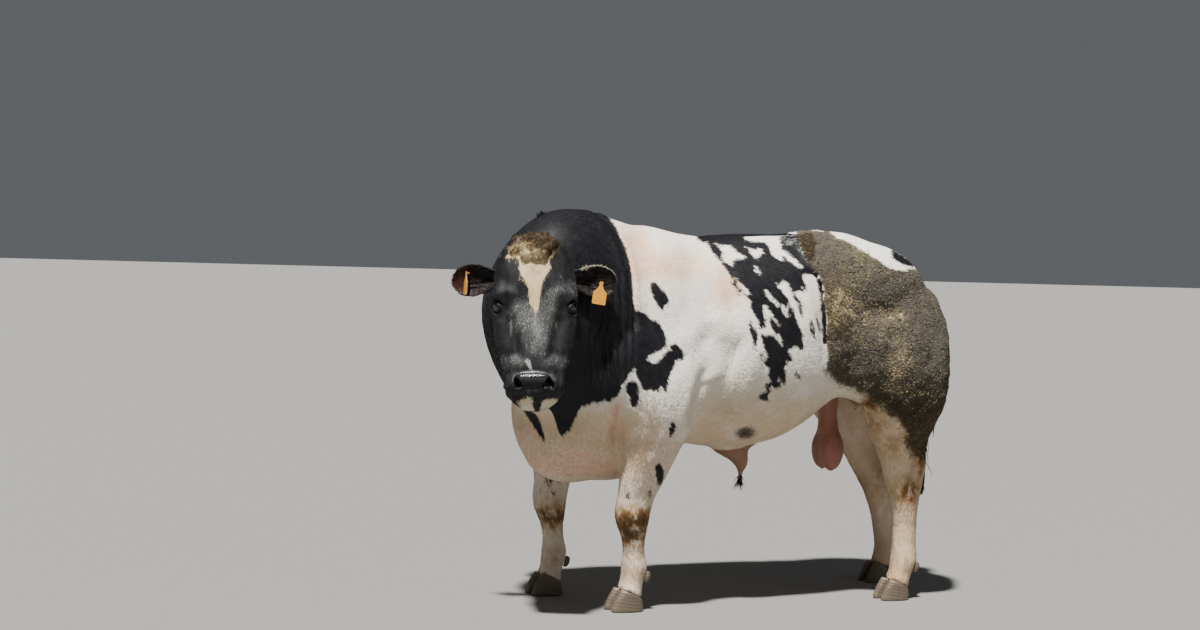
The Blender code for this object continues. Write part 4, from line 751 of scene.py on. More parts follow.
def own_colours(where):
    """A colour that takes the coat's place, and how much of it."""
    colour = np.zeros((len(where), 3))
    amount = np.zeros(len(where))

    def lay(new_colour, weight):
        nonlocal colour, amount
        most = np.maximum(weight, amount)
        share = np.clip(weight / np.maximum(most, 1e-6), 0, 1) * (weight > 0.02)
        colour = blend(colour, new_colour, share[:, None])
        amount = most

    left, flat = side_places(where)[0], face_places(where)
    x, y, z = where.T
    u, s, w = in_head(where)
    on_front = np.maximum(smooth(w, -0.05, 0.0), smooth(0.05 - u, 0, 0.05))
    on_front = on_front * smooth(w, -0.085, -0.060) * is_head(where)
    hair = blend(TAN, CREAM, np.clip((u - 0.010) / 0.085, 0, 1)[:, None])
    lay(hair, smooth(outline_depth(flat, BLAZE), -0.012, 0.012) * on_front)
    dark = smooth(outline_depth(flat, POLL_DARK), -0.020, 0.006) * on_front
    colour = blend(colour, BROWN, 0.92 * dark[:, None])
    amount = np.maximum(amount, dark)
    scrotum = near_point(where, (0.965, 0.0, 0.630), (0.085, 0.090, 0.170))
    lay(SCROTUM_PINK, smooth(scrotum, 0.18, 0.40) * (np.abs(y) < 0.085))
    sheath = near_point(where, (0.545, 0.0, 0.545), (0.110, 0.060, 0.075))
    lay(SHEATH_PINK, smooth(sheath, 0.20, 0.50))
    lay(BELLY_DARK, 0.70 * bump(left[:, 0] - 0.51, 0.058) * bump(left[:, 1] - 0.668, 0.042))
    # Painted shade along the crease between the brisket and the near foreleg
    crease_shade = bump(left[:, 0] - 0.019, 0.016) * smooth(z, 0.61, 0.65) * smooth(0.83 - z, 0.0, 0.06)
    lay(FOLD_PAINTED_SHADE, 0.34 * crease_shade * (y < -0.06) * (x < 0.1))
    for sign in (-1, 1):
        a, b, g = in_eye(where, sign)
        lay(LID_BLACK, (1 - smooth(np.hypot(a / 0.032, b / 0.021), 0.75, 1.10)) * (g > -0.02))
    lay(TAIL_BLACK, smooth(x, 1.20, 1.22) * smooth(0.86 - z, 0.0, 0.06) * (np.abs(y) < 0.06))
    pad = smooth(outline_depth(flat, NOSE_PAD), -0.003, 0.002) * smooth(w, -0.04, -0.02)
    lay(blend(NOSE_BLACK, LIP_BLACK, smooth(u, 0.500, 0.528)[:, None]), pad)
    # Painted shade inside the nostrils
    lay(NOSTRIL_PAINTED_SHADE, (1 - smooth(nostril_reach(u, s), 0.75, 1.05)) * smooth(w, -0.05, -0.03))
    return colour, amount


def grey_amount(where):
    """Share of pale hairs among the black ones; on the sides of the face they are partly painted sheen."""
    u, s, w = in_head(where)
    flat, aside = face_places(where), np.abs(s)
    ways = np.stack([s * 100, u * 20, w * 60], 1)
    streaks, fine = 0.5 + 0.5 * value_noise(ways, 1.0, 7), 0.5 + 0.5 * value_noise(ways, 2.7, 9)
    roan = smooth(outline_depth(flat, ROAN_FACE), -0.034, 0.026) * (0.06 + 0.36 * streaks + 0.16 * fine)
    down = bump(s - 0.003 - 0.2 * (u - 0.33), 0.021) * bump(u - 0.325, 0.078)
    down = down * (0.30 + 0.35 * streaks + 0.35 * fine)
    front = smooth(w, -0.02, 0.02)
    out = np.maximum(np.maximum(roan, down), 0.98 * (outline_depth(flat, NOSE_SPOT) > -0.001)) * front
    # Pale hairs on the brow, over the sides of the face and in a band across the muzzle, partly painted
    # sheen of the lit black face
    side = 0.12 * bump(u - 0.19, 0.07) * smooth(s, 0.04, 0.08)
    side += 0.056 * smooth(u, 0.10, 0.20) * smooth(0.60 - u, 0, 0.05)
    side += 0.12 * bump(u - 0.440, 0.020) * smooth(aside, 0.01, 0.05)
    out = np.maximum(out, side * (0.3 + 0.7 * streaks) * smooth(w, -0.05, 0.0))
    out = out * (1 - 0.97 * bump(aside - 0.108, 0.038) * bump(u - 0.262, 0.048))
    streak = bump(s + 0.083, 0.004) * bump(u - 0.318, 0.030)
    streak += bump(s - 0.075, 0.0025) * bump(u - 0.315, 0.013)
    out = np.maximum(out, 0.40 * streak * front)
    loin = smooth(outline_depth(side_places(where)[0], LOIN), -0.02, 0.03) * (where[:, 1] < 0.03)
    speckle = value_noise(where * np.array([40.0, 40.0, 15.0]), 1.0, 4)
    return np.maximum(out, 0.55 * loin * (0.3 + 0.7 * speckle))


def wet_amount(where):
    u, s, w = in_head(where)
    reach = nostril_reach(u, s)
    pad = smooth(outline_depth(face_places(where), NOSE_PAD), 0.000, 0.006) * smooth(w, -0.04, -0.02)
    rim = bump(reach - 1.1, 0.25) * smooth(w, -0.05, -0.03)
    pad = pad * (1 - 0.9 * smooth(u, 0.500, 0.524))
    return np.maximum(pad, 0.12 * rim) * smooth(reach, 0.7, 1.0)


def paint(mesh, roots, shade, own=None, repeat=1):
    """Stores on a mesh's corners what its material reads, worked out at each root or given as own."""
    n = len(roots)
    if own is None:
        own, weight = own_colours(roots)
        own = np.concatenate([own, weight[:, None]], axis=1)
        black = black_depth(roots) * 10 + 0.5
        coat = np.stack([black, mud_amount(roots), warm_and_shade_amount(roots), stain_amount(roots)], 1)
        grey, wet = grey_amount(roots), wet_amount(roots)
    else:
        if not isinstance(own, np.ndarray):
            own = np.tile((*own, 1.0), (n, 1))
        coat = np.tile((1.5, 0.0, 0.0, 0.0), (n, 1))
        grey = wet = np.zeros(n)
    fields = {"root": roots, "coat": coat, "own": own, "grey": grey, "wet": wet, "shade": shade,
              "tone": mud_tone_and_shade(roots), "cream_and_shade": cream_and_shade_amount(roots)}
    for name, values in fields.items():
        set_field(mesh, name, np.repeat(values, repeat, axis=0))


def value_noise(where, scale, seed):
    """Smooth seeded noise from -1 to 1, by blending the values of a lattice's corners."""
    p = where * scale + seed * 17.3
    cell = np.floor(p).astype(np.int64)
    t = p - cell
    t = t * t * (3 - 2 * t)
    out = np.zeros(len(where))
    for corner in range(8):
        step = np.array([corner & 1, corner >> 1 & 1, corner >> 2 & 1])
        c = cell + step
        h = (c[:, 0] * 73856093 ^ c[:, 1] * 19349663 ^ c[:, 2] * 83492791) & 0x7FFFFFFF
        h = (h * 1103515245 + 12345) & 0x7FFFFFFF
        out += (h / 0x3FFFFFFF - 1) * np.prod(np.where(step, t, 1 - t), axis=1)
    return out


def ends_faded(share, low, high):
    """Fades a fold towards both ends of its line."""
    return smooth(np.minimum(share, 1 - share), low, high)


# Where the bulge beside each fold lies: heights, and the place of its edge at each
NECK_FOLD_EDGE = ([1.03, 1.206, 1.356, 1.426, 1.50], [-0.104, -0.104, -0.144, -0.177, -0.235])
FLANK_FOLD_EDGE = ([1.03, 1.153, 1.243, 1.29], [0.798, 0.786, 0.771, 0.730])
WRINKLE_LEFT, WRINKLE_RIGHT = 0.025, 0.026


def sculpt_body(where, normals):
    """Folds of neck and flank, fine wrinkles, muscle edges, and the lumps of mud."""
    x, y, z = where.T
    flat = np.stack([x + 0.09 * smooth(y, 0.02, 0.16), z], 1)
    apart, share = line_distance(flat, CREASE)
    fade = ends_faded(share, 0.0, 0.12)
    ahead = flat[:, 0] < np.interp(z, *NECK_FOLD_EDGE)
    lift = (0.010 * ahead * bump(apart - 0.035, 0.030) - 0.014 * bump(apart, 0.011)) * fade
    # upright wrinkles where the turned neck is pressed together
    wave = side_places(where)[0][:, 0] + 0.012 * value_noise(where, 9.0, 3) + 0.05 * (z - 1.0)
    lift += 0.0042 * wrinkle_zone(where) * np.sin(wave * 2 * math.pi / WRINKLE_LEFT)
    zone = smooth(z, 0.80, 0.95) * (1 - smooth(z, 1.25, 1.40)) * bump(x + 0.22, 0.07) * (y > 0.1)
    lift += 0.0015 * zone * np.sin(x * 2 * math.pi / WRINKLE_RIGHT)
    mirrored = np.stack([x * math.cos(VIEW_TURN) + np.abs(y) * math.sin(VIEW_TURN), z], 1)
    outer = smooth(np.abs(y), 0.06, 0.14)
    crease, share = line_distance(mirrored, CREASE_LINE)
    fade = ends_faded(share, 0.0, 0.2) * outer
    behind = mirrored[:, 0] > np.interp(z, *FLANK_FOLD_EDGE)
    lift += (0.006 * bump(crease - 0.030, 0.024) * behind - 0.010 * bump(crease, 0.009)) * fade
    for path, height, width in RELIEF:
        apart, share = line_distance(mirrored, path)
        on_left_only = path[0][0] < 0.20
        side = outer * smooth(-y, 0.05, 0.10) if on_left_only else outer
        lift += height * bump(apart, width) * side * ends_faded(share, -0.12, 0.18)
    rough = 0.0032 * value_noise(where, 36.0, 1) + 0.0026 * value_noise(where, 17.0, 5)
    lift += np.clip(mud_amount(where) * 1.3, 0, 1) * (rough + 0.001)
    return where + normals * lift[:, None]


def from_head(where):
    return np.linalg.norm(where - HEAD_MIDDLE, axis=1)


def build_skin():
    """One skin over flesh and eyes, with finer faces at the head, smoothed and then sculpted."""
    bm = bmesh.new()
    for name in FLESH + ["eye_left", "eye_right"]:
        mesh = welded_copy(name, CLOSE_GAPS)
        bm.from_mesh(mesh)
        bpy.data.meshes.remove(mesh)
    middle = Vector(HEAD_MIDDLE)
    for longest in SPLIT_LENGTHS:
        near = [e for e in bm.edges if (e.verts[0].co - middle).length < SPLIT_REACH]
        long = [e for e in near if e.calc_length() > longest]
        bmesh.ops.subdivide_edges(bm, edges=long, cuts=1)
    whole = bm_mesh(bm, "whole")
    set_coordinates(whole, head_warp(coordinates(whole)))
    skin = remeshed(whole, SKIN_VOXEL)
    set_coordinates(skin, head_warp(coordinates(skin), inverse=True))
    where = coordinates(skin)
    weight = 0.25 + 0.75 * smooth(where[:, 2], 0.30, 0.75)
    weight = weight * (0.45 + 0.55 * smooth(from_head(where), 0.26, 0.40))
    set_coordinates(skin, relax(where, edge_pairs(skin), SKIN_ROUNDS, weight[:, None]))
    for level in (0, 1):
        refine(skin, fine_zone(coordinates(skin), level))
    where = coordinates(skin)
    where = relax(where, edge_pairs(skin), FINE_ROUNDS, fine_zone(where, 0)[:, None])
    set_coordinates(skin, where)
    normals = vertex_normals(skin)
    depth = 0.0012 + 0.0013 * smooth(from_head(where), 0.24, 0.40)
    where = where - normals * depth[:, None]
    for sculpt in (sculpt_body, sculpt_face, sculpt_muzzle):
        where = sculpt(where, normals)
    return skin, sculpt_eyes(where)


def keep_largest(mesh):
    """Removes all but the largest connected surface."""
    a, b = edge_pairs(mesh).T
    label = np.arange(len(mesh.vertices))
    before = None
    while not np.array_equal(before, label):
        before = label
        low = np.minimum(label[a], label[b])
        label = label.copy()
        np.minimum.at(label, a, low)
        np.minimum.at(label, b, low)
        label = label[label]
    values, counts = np.unique(label, return_counts=True)
    keep = label == values[counts.argmax()]
    if not keep.all():
        bm = bmesh.new()
        bm.from_mesh(mesh)
        bmesh.ops.delete(bm, geom=[v for v in bm.verts if not keep[v.index]], context="VERTS")
        bm.to_mesh(mesh)
        bm.free()


# Materials
HAIR_TURN = (0, math.radians(-24), 0)
CLAW_TURN = (0, math.radians(-30), 0)


class Shader:
    """Short ways to add and link a material's nodes."""

    def __init__(self, name):
        self.material = bpy.data.materials.new(name)
        self.material.use_nodes = True
        self.tree = self.material.node_tree
        self.surface = self.tree.nodes["Principled BSDF"]

    def node(self, kind, inputs=None, **properties):
        made = self.tree.nodes.new("ShaderNode" + kind)
        for key, value in properties.items():
            setattr(made, key, value)
        for key, value in (inputs or {}).items():
            self.put(value, made.inputs[key])
        return made

    def put(self, value, socket):
        if isinstance(value, bpy.types.NodeSocket):
            self.tree.links.new(value, socket)
        elif isinstance(value, tuple) and len(value) == 3 and socket.type == "RGBA":
            socket.default_value = (*value, 1.0)
        else:
            socket.default_value = value

    def cover(self, inputs):
        """Sets or links inputs of the surface itself."""
        for key, value in inputs.items():
            self.put(value, self.surface.inputs[key])
        return self.material

    def math(self, operation, a, b=0.0, clamp=False):
        return self.node("Math", {0: a, 1: b}, operation=operation, use_clamp=clamp).outputs[0]

    def add(self, a, b, clamp=False):
        return self.math("ADD", a, b, clamp)

    def sub(self, a, b):
        return self.math("SUBTRACT", a, b)

    def mul(self, a, b, clamp=False):
        return self.math("MULTIPLY", a, b, clamp)

    def plus(self, a, b, times, clamp=False):
        """a + b * times"""
        return self.add(a, self.mul(b, times), clamp)

    def sway(self, a, noise, depth):
        """a, moved by how far a noise is from its middle."""
        return self.plus(a, self.sub(noise, 0.5), depth)

    def length(self, a, b):
        return self.math("SQRT", self.add(self.mul(a, a), self.mul(b, b)))

    def mix(self, share, a, b):
        made = self.node("Mix", data_type="RGBA")
        for value, place in ((share, 0), (a, 6), (b, 7)):
            self.put(value, made.inputs[place])
        return made.outputs[2]

    def ramp(self, value, low, high):
        inputs = {0: value, 1: low, 2: high}
        return self.node("MapRange", inputs, interpolation_type="SMOOTHSTEP").outputs[0]

    def noise(self, vector, scale, detail=2.0, rough=0.55):
        inputs = {"Vector": vector, "Scale": scale, "Detail": detail, "Roughness": rough}
        return self.node("TexNoise", inputs).outputs[0]

    def cells(self, vector, scale, **properties):
        return self.node("TexVoronoi", {"Vector": vector, "Scale": scale}, **properties).outputs[0]

    def stretched(self, vector, scale, turn=HAIR_TURN):
        inputs = {"Vector": vector, "Rotation": turn, "Scale": scale}
        return self.node("Mapping", inputs, vector_type="TEXTURE").outputs[0]

    def scaled(self, vector, scale):
        return self.node("VectorMath", {0: vector, "Scale": scale}, operation="SCALE").outputs[0]

    def relief(self, height, strength, distance):
        inputs = {"Height": height, "Strength": strength, "Distance": distance}
        return self.node("Bump", inputs).outputs[0]

    def field(self, name, output="Fac"):
        return self.node("Attribute", attribute_name=name).outputs[output]


# The warm white serves for pink skin and for painted shade, the cream white for yellowed hair and for
# painted shade.
WHITE, WHITE_WARM_AND_SHADE, WHITE_CREAM_AND_SHADE = (0.80, 0.765, 0.70), (0.70, 0.47, 0.335), (0.56, 0.46, 0.285)
WHITE_SHADOW, PALE_HAIR = (0.40, 0.35, 0.28), (0.40, 0.405, 0.39)
BLACK, BLACK_WORN = (0.0042, 0.0044, 0.0060), (0.0110, 0.0112, 0.0145)
STAIN, STAIN_DARK = (0.31, 0.165, 0.066), (0.085, 0.044, 0.016)
MUD_DARK, MUD_LIGHT, MUD_DRY = (0.020, 0.0155, 0.0065), (0.100, 0.075, 0.028), (0.33, 0.255, 0.125)
SHEEN = {"Sheen Weight": 0.012, "Sheen Roughness": 0.45, "Sheen Tint": (0.75, 0.82, 0.95)}


def coat_material(name, on_skin):
    """White, black, roan, stains and mud, from what paint() stores at each root."""
    m = Shader(name)
    root, shade, wet, tone = m.field("root", "Vector"), m.field("shade"), m.field("wet"), m.field("tone")
    grey, cream_and_shade = m.field("grey"), m.field("cream_and_shade")
    coat, own = (m.node("Attribute", attribute_name=key).outputs for key in ("coat", "own"))
    black, mud, warm_and_shade = m.node("SeparateColor", {"Color": coat["Color"]}).outputs
    streak = m.noise(m.stretched(root, (0.012, 0.014, 0.045)), 1.0, 3.0, 0.6)
    hairs = m.noise(m.stretched(root, (0.0035, 0.004, 0.016)), 1.0, 2.0, 0.6)
    # Pink skin, and painted shade on the brisket, along its crease and under the belly
    warm_and_shade_here = m.mul(warm_and_shade, m.ramp(m.noise(root, 7.0, 3.0), 0.18, 0.55), clamp=True)
    # Yellowed hair, and painted shade low on the flank, on the brisket, the legs and under the head
    cream_and_shade_here = m.mul(cream_and_shade, m.ramp(m.noise(root, 11.0, 3.0), 0.10, 0.55), clamp=True)
    white = m.mix(warm_and_shade_here, m.mix(cream_and_shade_here, WHITE, WHITE_CREAM_AND_SHADE), WHITE_WARM_AND_SHADE)
    white = m.mix(m.ramp(hairs, 0.30, 0.70), m.mix(0.10, white, WHITE_SHADOW), white)
    blot, stain = m.noise(root, 30.0, 4.0, 0.6), coat["Alpha"]
    stained = m.mul(stain, m.ramp(m.plus(blot, streak, 0.3), 0.34, 0.80))
    deep = m.ramp(m.plus(blot, stain, 0.45), 0.92, 1.34)
    white = m.mix(m.math("MINIMUM", stained, 1.0), white, m.mix(deep, STAIN, STAIN_DARK))
    dark = m.mix(m.ramp(streak, 0.35, 0.8), BLACK, BLACK_WORN)
    if on_skin:
        pale = m.mul(grey, 0.55)
    else:
        chance = m.math("FRACT", m.mul(shade, 61.7))
        pale = m.mul(m.ramp(m.sub(grey, chance), -0.30, 0.30), m.ramp(grey, 0.0, 0.12))
    dark = m.mix(m.mul(pale, 0.95), dark, PALE_HAIR)
    is_black = m.ramp(m.sway(m.sway(black, streak, 0.20), hairs, 0.16), 0.46, 0.54)
    own_colour = m.mix(m.mul(streak, 0.5), own["Color"], m.mix(0.6, own["Color"], BLACK))
    own_here = m.ramp(m.sway(own["Alpha"], hairs, 0.9), 0.30, 0.62)
    colour = m.mix(own_here, m.mix(is_black, white, dark), own_colour)
    clumps = m.noise(root, 62.0, 5.0, 0.70)
    muddy = m.sway(m.sway(mud, m.noise(root, 13.0, 4.0, 0.6), 0.70), clumps, 0.9)
    muddy = m.ramp(muddy, 0.36, 0.74)
    earth = m.mix(m.ramp(m.plus(clumps, tone, 0.13), 0.42, 0.62), MUD_DARK, MUD_LIGHT)
    dry = m.plus(m.noise(root, 24.0, 5.0, 0.75), tone, 0.20)
    earth = m.mix(m.ramp(dry, 0.60, 0.75), earth, MUD_DRY)
    # cracks, along the edges of swerving cells
    swerve = m.node("TexNoise", {"Vector": root, "Scale": 45.0, "Detail": 3.0}).outputs[1]
    bent = m.node("VectorMath", {0: root, 1: m.scaled(swerve, 0.022)}, operation="ADD").outputs[0]
    plates = m.ramp(m.cells(bent, 72.0, feature="DISTANCE_TO_EDGE"), 0.0, 0.16)
    colour = m.mix(m.mul(muddy, 0.94), colour, m.mix(plates, MUD_DARK, earth))
    dull = m.sub(0.34, m.mul(m.ramp(m.noise(root, 75.0, 3.0), 0.46, 0.60), 0.24))
    m.cover({"Base Color": m.scaled(colour, m.plus(0.82, shade, 0.36)), **SHEEN,
             "Roughness": m.sub(m.plus(0.52, muddy, 0.33), m.mul(wet, dull)),
             "Specular IOR Level": m.plus(0.20, wet, 0.65)})
    if on_skin:
        grain = m.noise(m.stretched(root, (0.0018, 0.002, 0.009)), 1.0, 2.0, 0.6)
        crust = m.plus(m.mul(plates, 0.8), clumps, 1.6)
        height = m.mix(wet, m.mix(muddy, grain, crust), m.mul(m.cells(root, 620.0), 0.42))
        m.cover({"Normal": m.relief(height, m.plus(0.35, muddy, 0.60, clamp=True), 0.003)})
    return m.material


# Coat
def lie_of(where):
    """The way the hair lies, before it is laid along the surface."""
    u, s = in_head(where)[:2]
    x, z = where[:, 0], where[:, 2]
    out = np.tile((0.85, 0.0, -0.55), (len(where), 1))
    neck, legs = smooth(-0.02 - x, 0.0, 0.25), smooth(0.72 - z, 0.0, 0.15)
    belly = smooth(0.85 - z, 0.0, 0.15) * smooth(x, 0.22, 0.32) * (1 - smooth(x, 0.82, 0.92))
    for way, share in (((0.45, 0.25, -0.85), neck), ((0.18, 0.0, -1.0), legs), ((0.9, 0.0, -0.25), belly)):
        out = blend(out, way, share[:, None])
    away = np.outer(np.sign(u - 0.16) * 0.9 + 0.2, HEAD_U) + np.outer(s * 4.0, HEAD_S)
    return np.where(is_head(where)[:, None], away, out)


UNWRAP_ANGLE, UNWRAP_MARGIN = math.radians(75), 0.001


class Surface:
    """What the coat needs of a skin: its faces, normals and unwrap."""

    def __init__(self, name, mesh, places, material, slot="coat"):
        self.places = places
        self.object = add_piece(name, mesh, places, material)
        self.unwrap()
        mesh = self.object.data
        self.normals = vertex_normals(mesh)
        self.corners, self.loops = triangles_of(mesh)
        self.flat = read(mesh.uv_layers[0].data, "uv", 2)
        tri = places[self.corners]
        self.areas = np.linalg.norm(np.cross(tri[:, 1] - tri[:, 0], tri[:, 2] - tri[:, 0]), axis=1) / 2
        self.middles = tri.mean(axis=1)
        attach(self.object, "root")

    def unwrap(self):
        bpy.context.view_layer.objects.active = self.object
        bpy.ops.object.select_all(action="DESELECT")
        self.object.select_set(True)
        bpy.ops.object.mode_set(mode="EDIT")
        bpy.ops.mesh.select_all(action="SELECT")
        bpy.ops.uv.smart_project(angle_limit=UNWRAP_ANGLE, island_margin=UNWRAP_MARGIN)
        bpy.ops.object.mode_set(mode="OBJECT")
        self.object.data.uv_layers[0].name = "OFBake"

    def scatter(self, count, weights):
        """Seeded places on the skin: points, normals and places on the unwrap."""
        chance = self.areas * weights
        picked = RNG.choice(len(self.corners), size=count, p=chance / chance.sum())
        a, b = RNG.random(count), RNG.random(count)
        flip = a + b > 1
        a, b = np.where(flip, 1 - a, a), np.where(flip, 1 - b, b)
        shares = np.stack([1 - a - b, a, b], 1)[:, :, None]
        tri = self.corners[picked]
        points = (self.places[tri] * shares).sum(axis=1)
        facing = unit((self.normals[tri] * shares).sum(axis=1))
        flat = (self.flat[self.loops[picked]] * shares).sum(axis=1)
        return points, facing, flat

    def nearest(self, points):
        """The places on the skin that lie nearest to some points."""
        picked = np.array([np.argmin(((self.middles - p) ** 2).sum(axis=1)) for p in points])
        tri = self.corners[picked]
        flat = self.flat[self.loops[picked]].mean(axis=1)
        return self.places[tri].mean(axis=1), unit(self.normals[tri].sum(axis=1)), flat


# Size of a tuft's patch on the unwrap, and how deep tufts and locks are rooted
PATCH, TUFT_DEPTH, LOCK_DEPTH = 0.0015, 0.0008, 0.0015
LOCK_TAPER, LOCK_FLATNESS = 0.85, 0.6


def tuft_mesh(name, place, lie, length, width, thick, lift, swirl=0.0):
    """Flat ridged tufts with a pointed tip, one closed body of four faces each."""
    points, facing, flat = place
    n = len(points)
    lie = lie + RNG.normal(0, 0.16 + swirl, (n, 3))
    lie = unit(lie - facing * np.sum(lie * facing, axis=1)[:, None])
    side = np.cross(facing, lie)
    length = length * RNG.uniform(0.7, 1.25, n)
    lift = np.maximum(lift * RNG.uniform(0.2, 1.7, n), 0.01)
    half = (width * RNG.uniform(0.7, 1.2, n) / 2)[:, None]
    base = points - facing * TUFT_DEPTH
    left, right = base - side * half, base + side * half
    ridge = points + lie * (length * 0.40)[:, None] + facing * (thick + lift * length * 0.4)[:, None]
    tip = points + lie * length[:, None] + facing * (lift * length)[:, None]
    where = np.stack([left, right, ridge, tip], 1).reshape(-1, 3)
    first = np.arange(n)[:, None] * 4
    faces = np.concatenate([first + np.array([f]) for f in ((0, 3, 2), (1, 2, 3), (0, 2, 1), (0, 1, 3))])
    mesh = make_mesh(name, where + MOVE, faces)
    tilt = facing[:, None, :] + RNG.normal(0, 0.06, (n, 1, 3))
    parts = np.stack([-side * 0.24, side * 0.24, side * 0.0, lie * 0.22], 1)
    mesh.normals_split_custom_set_from_vertices(unit(tilt + parts).reshape(-1, 3))
    spread_patch(mesh, flat, faces, [(-1, -1), (1, -1), (0, 0), (0, 1)])
    return mesh, points, RNG.random(n)


def spread_patch(mesh, flat, faces, corners):
    """Gives each tuft a small patch at its root's place on the unwrap."""
    patch = np.array(corners, float) * PATCH
    corner_uv = (flat[:, None, :] + patch[None]).reshape(-1, 2)
    layer = mesh.uv_layers.new(name="OFBake")
    layer.data.foreach_set("uv", corner_uv[faces.ravel()].astype(np.float32).ravel())


def many_bodies(name, where, faces, flat, roots, step):
    """One mesh of like bodies from their corners and the first one's faces. step turns the patch."""
    n, per, _ = where.shape
    faces = (np.arange(n)[:, None, None] * per + np.array(faces)[None]).reshape(-1, 3)
    mesh = make_mesh(name, where.reshape(-1, 3) + MOVE, faces)
    spread_patch(mesh, flat, faces, [(math.cos(k * step), math.sin(k * step)) for k in range(per)])
    return mesh, roots, RNG.random(n)


def lock_paths(points, facing, lie, length, steps, start, turn, wave=0.0, waves=1.5):
    """Centre lines of locks that leave the skin at an angle, bend over, and swing from side to side."""
    n = len(points)
    lie = unit(lie - facing * np.sum(lie * facing, axis=1)[:, None])
    side = np.cross(facing, lie)
    share = np.linspace(0, 1, steps)
    start, turn, length, wave = (np.broadcast_to(v, n)[:, None] for v in (start, turn, length, wave))
    angle = start - turn * share
    step = length / (steps - 1)
    none = np.zeros((n, 1))
    ahead = np.concatenate([none, np.cumsum(np.cos(angle[:, 1:]) * step, axis=1)], axis=1)
    above = np.concatenate([none, np.cumsum(np.sin(angle[:, 1:]) * step, axis=1)], axis=1)
    phase = RNG.uniform(0, 2 * math.pi, (n, 1))
    swing = wave * (np.sin(share * waves * 2 * math.pi + phase) - np.sin(phase)) * length
    path = points[:, None] + lie[:, None] * ahead[..., None] + facing[:, None] * above[..., None]
    return path + side[:, None] * swing[..., None] - facing[:, None] * LOCK_DEPTH


def lock_mesh(name, paths, radius, flat):
    """Closed three-sided locks along centre lines, ending in a point."""
    n, steps, _ = paths.shape
    along = unit(np.gradient(paths, axis=1))
    reference = np.broadcast_to(unit(RNG.normal(0, 1, (n, 1, 3))), along.shape)
    side = unit(np.cross(along, reference))
    out = np.cross(side, along)
    share = np.linspace(0, 1, steps)
    width = np.broadcast_to(radius, n)[:, None]
    width = width * (1 - share**2 * LOCK_TAPER) * (0.75 + 0.5 * np.sin(share * math.pi))
    rings = []
    for turn in (0, 2 * math.pi / 3, 4 * math.pi / 3):
        aside, above = width * math.cos(turn), width * math.sin(turn) * LOCK_FLATNESS
        rings.append(paths + side * aside[..., None] + out * above[..., None])
    rings = np.stack(rings, 2)[:, :-1]
    where = np.concatenate([rings.reshape(n, -1, 3), paths[:, -1:]], axis=1)
    last = (steps - 2) * 3
    faces = [(0, 2, 1)]
    for k in range(0, last, 3):
        for c in range(3):
            a, b = k + c, k + (c + 1) % 3
            faces += [(a, b, b + 3), (a, b + 3, a + 3)]
    faces += [(last + c, last + (c + 1) % 3, last + 3) for c in range(3)]
    return many_bodies(name, where, faces, flat, paths[:, 0], 2.4)


def add_coat(name, made, own=None, jitter=0.0):
    """Paints tufts or locks by their roots, or in one own colour, and adds them."""
    mesh, roots, shade = made
    roots = roots + RNG.normal(0, 1, roots.shape) * jitter
    paint(mesh, roots, shade, own, len(mesh.vertices) // len(roots))
    mesh.materials.append(hair_material)
    coat = add_object(name, mesh)
    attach(coat, "root")
    return coat


skin_material = coat_material("skin_surface", True)
hair_material = coat_material("coat_surface", False)

skin_mesh, skin_places = build_skin()
set_coordinates(skin_mesh, skin_places)
keep_largest(skin_mesh)
skin_places = coordinates(skin_mesh)
paint(skin_mesh, skin_places, np.full(len(skin_places), 0.5))
skin = Surface("skin", skin_mesh, skin_places, skin_material)
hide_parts(*FLESH)

COATS = {
    "coat_face": (48000, 0.0075, 0.0019, 0.0006, 0.10, 0.06),
    "coat_neck": (40000, 0.0125, 0.0034, 0.0009, 0.06, 0.03),
    "coat_shoulder": (44000, 0.0130, 0.0036, 0.0009, 0.05, 0.03),
    "coat_flank": (47000, 0.0135, 0.0038, 0.0009, 0.05, 0.03),
    "coat_rump": (32000, 0.0130, 0.0040, 0.0018, 0.14, 0.30),
    "coat_legs": (46000, 0.0125, 0.0029, 0.0010, 0.12, 0.12),
}


def zone_of(where):
    x, y, z = where.T
    out = np.full(len(where), "coat_flank", dtype="<U14")
    out[x < 0.34] = "coat_shoulder"
    out[(x < -0.12) & (z > 0.62)] = "coat_neck"
    out[(z < 0.66) & ((x < 0.22) | (x > 0.82)) & (np.abs(y) > 0.10)] = "coat_legs"
    out[mud_amount(where) > 0.35] = "coat_rump"
    out[is_head(where)] = "coat_face"
    return out


def bare_skin(where):
    """Where no hair grows: nose pad, eyes, scrotum and the end of the sheath."""
    out = np.clip(wet_amount(where) * 2, 0, 1)
    for sign in (-1, 1):
        a, b, g = in_eye(where, sign)
        out = np.maximum(out, (np.hypot(a / 0.022, b / 0.013) < 1) & (g > -0.02))
    out = np.maximum(out, near_point(where, (0.965, 0.0, 0.62), (0.085, 0.09, 0.17)) > 0.25)
    return np.maximum(out, near_point(where, (0.545, 0.0, 0.535), (0.09, 0.06, 0.06)) > 0.35)


zones = zone_of(skin.middles)
hairy = 1 - bare_skin(skin.middles)
for name, (count, length, width, thick, lift, swirl) in COATS.items():
    place = skin.scatter(count, (zones == name) * hairy)
    add_coat(name, tuft_mesh(name, place, lie_of(place[0]), length, width, thick, lift, swirl))


# Crumbs of dried mud: rings of five corners with a top and a bottom
CRUMBS, CRUMB_SIDES = 8000, 5


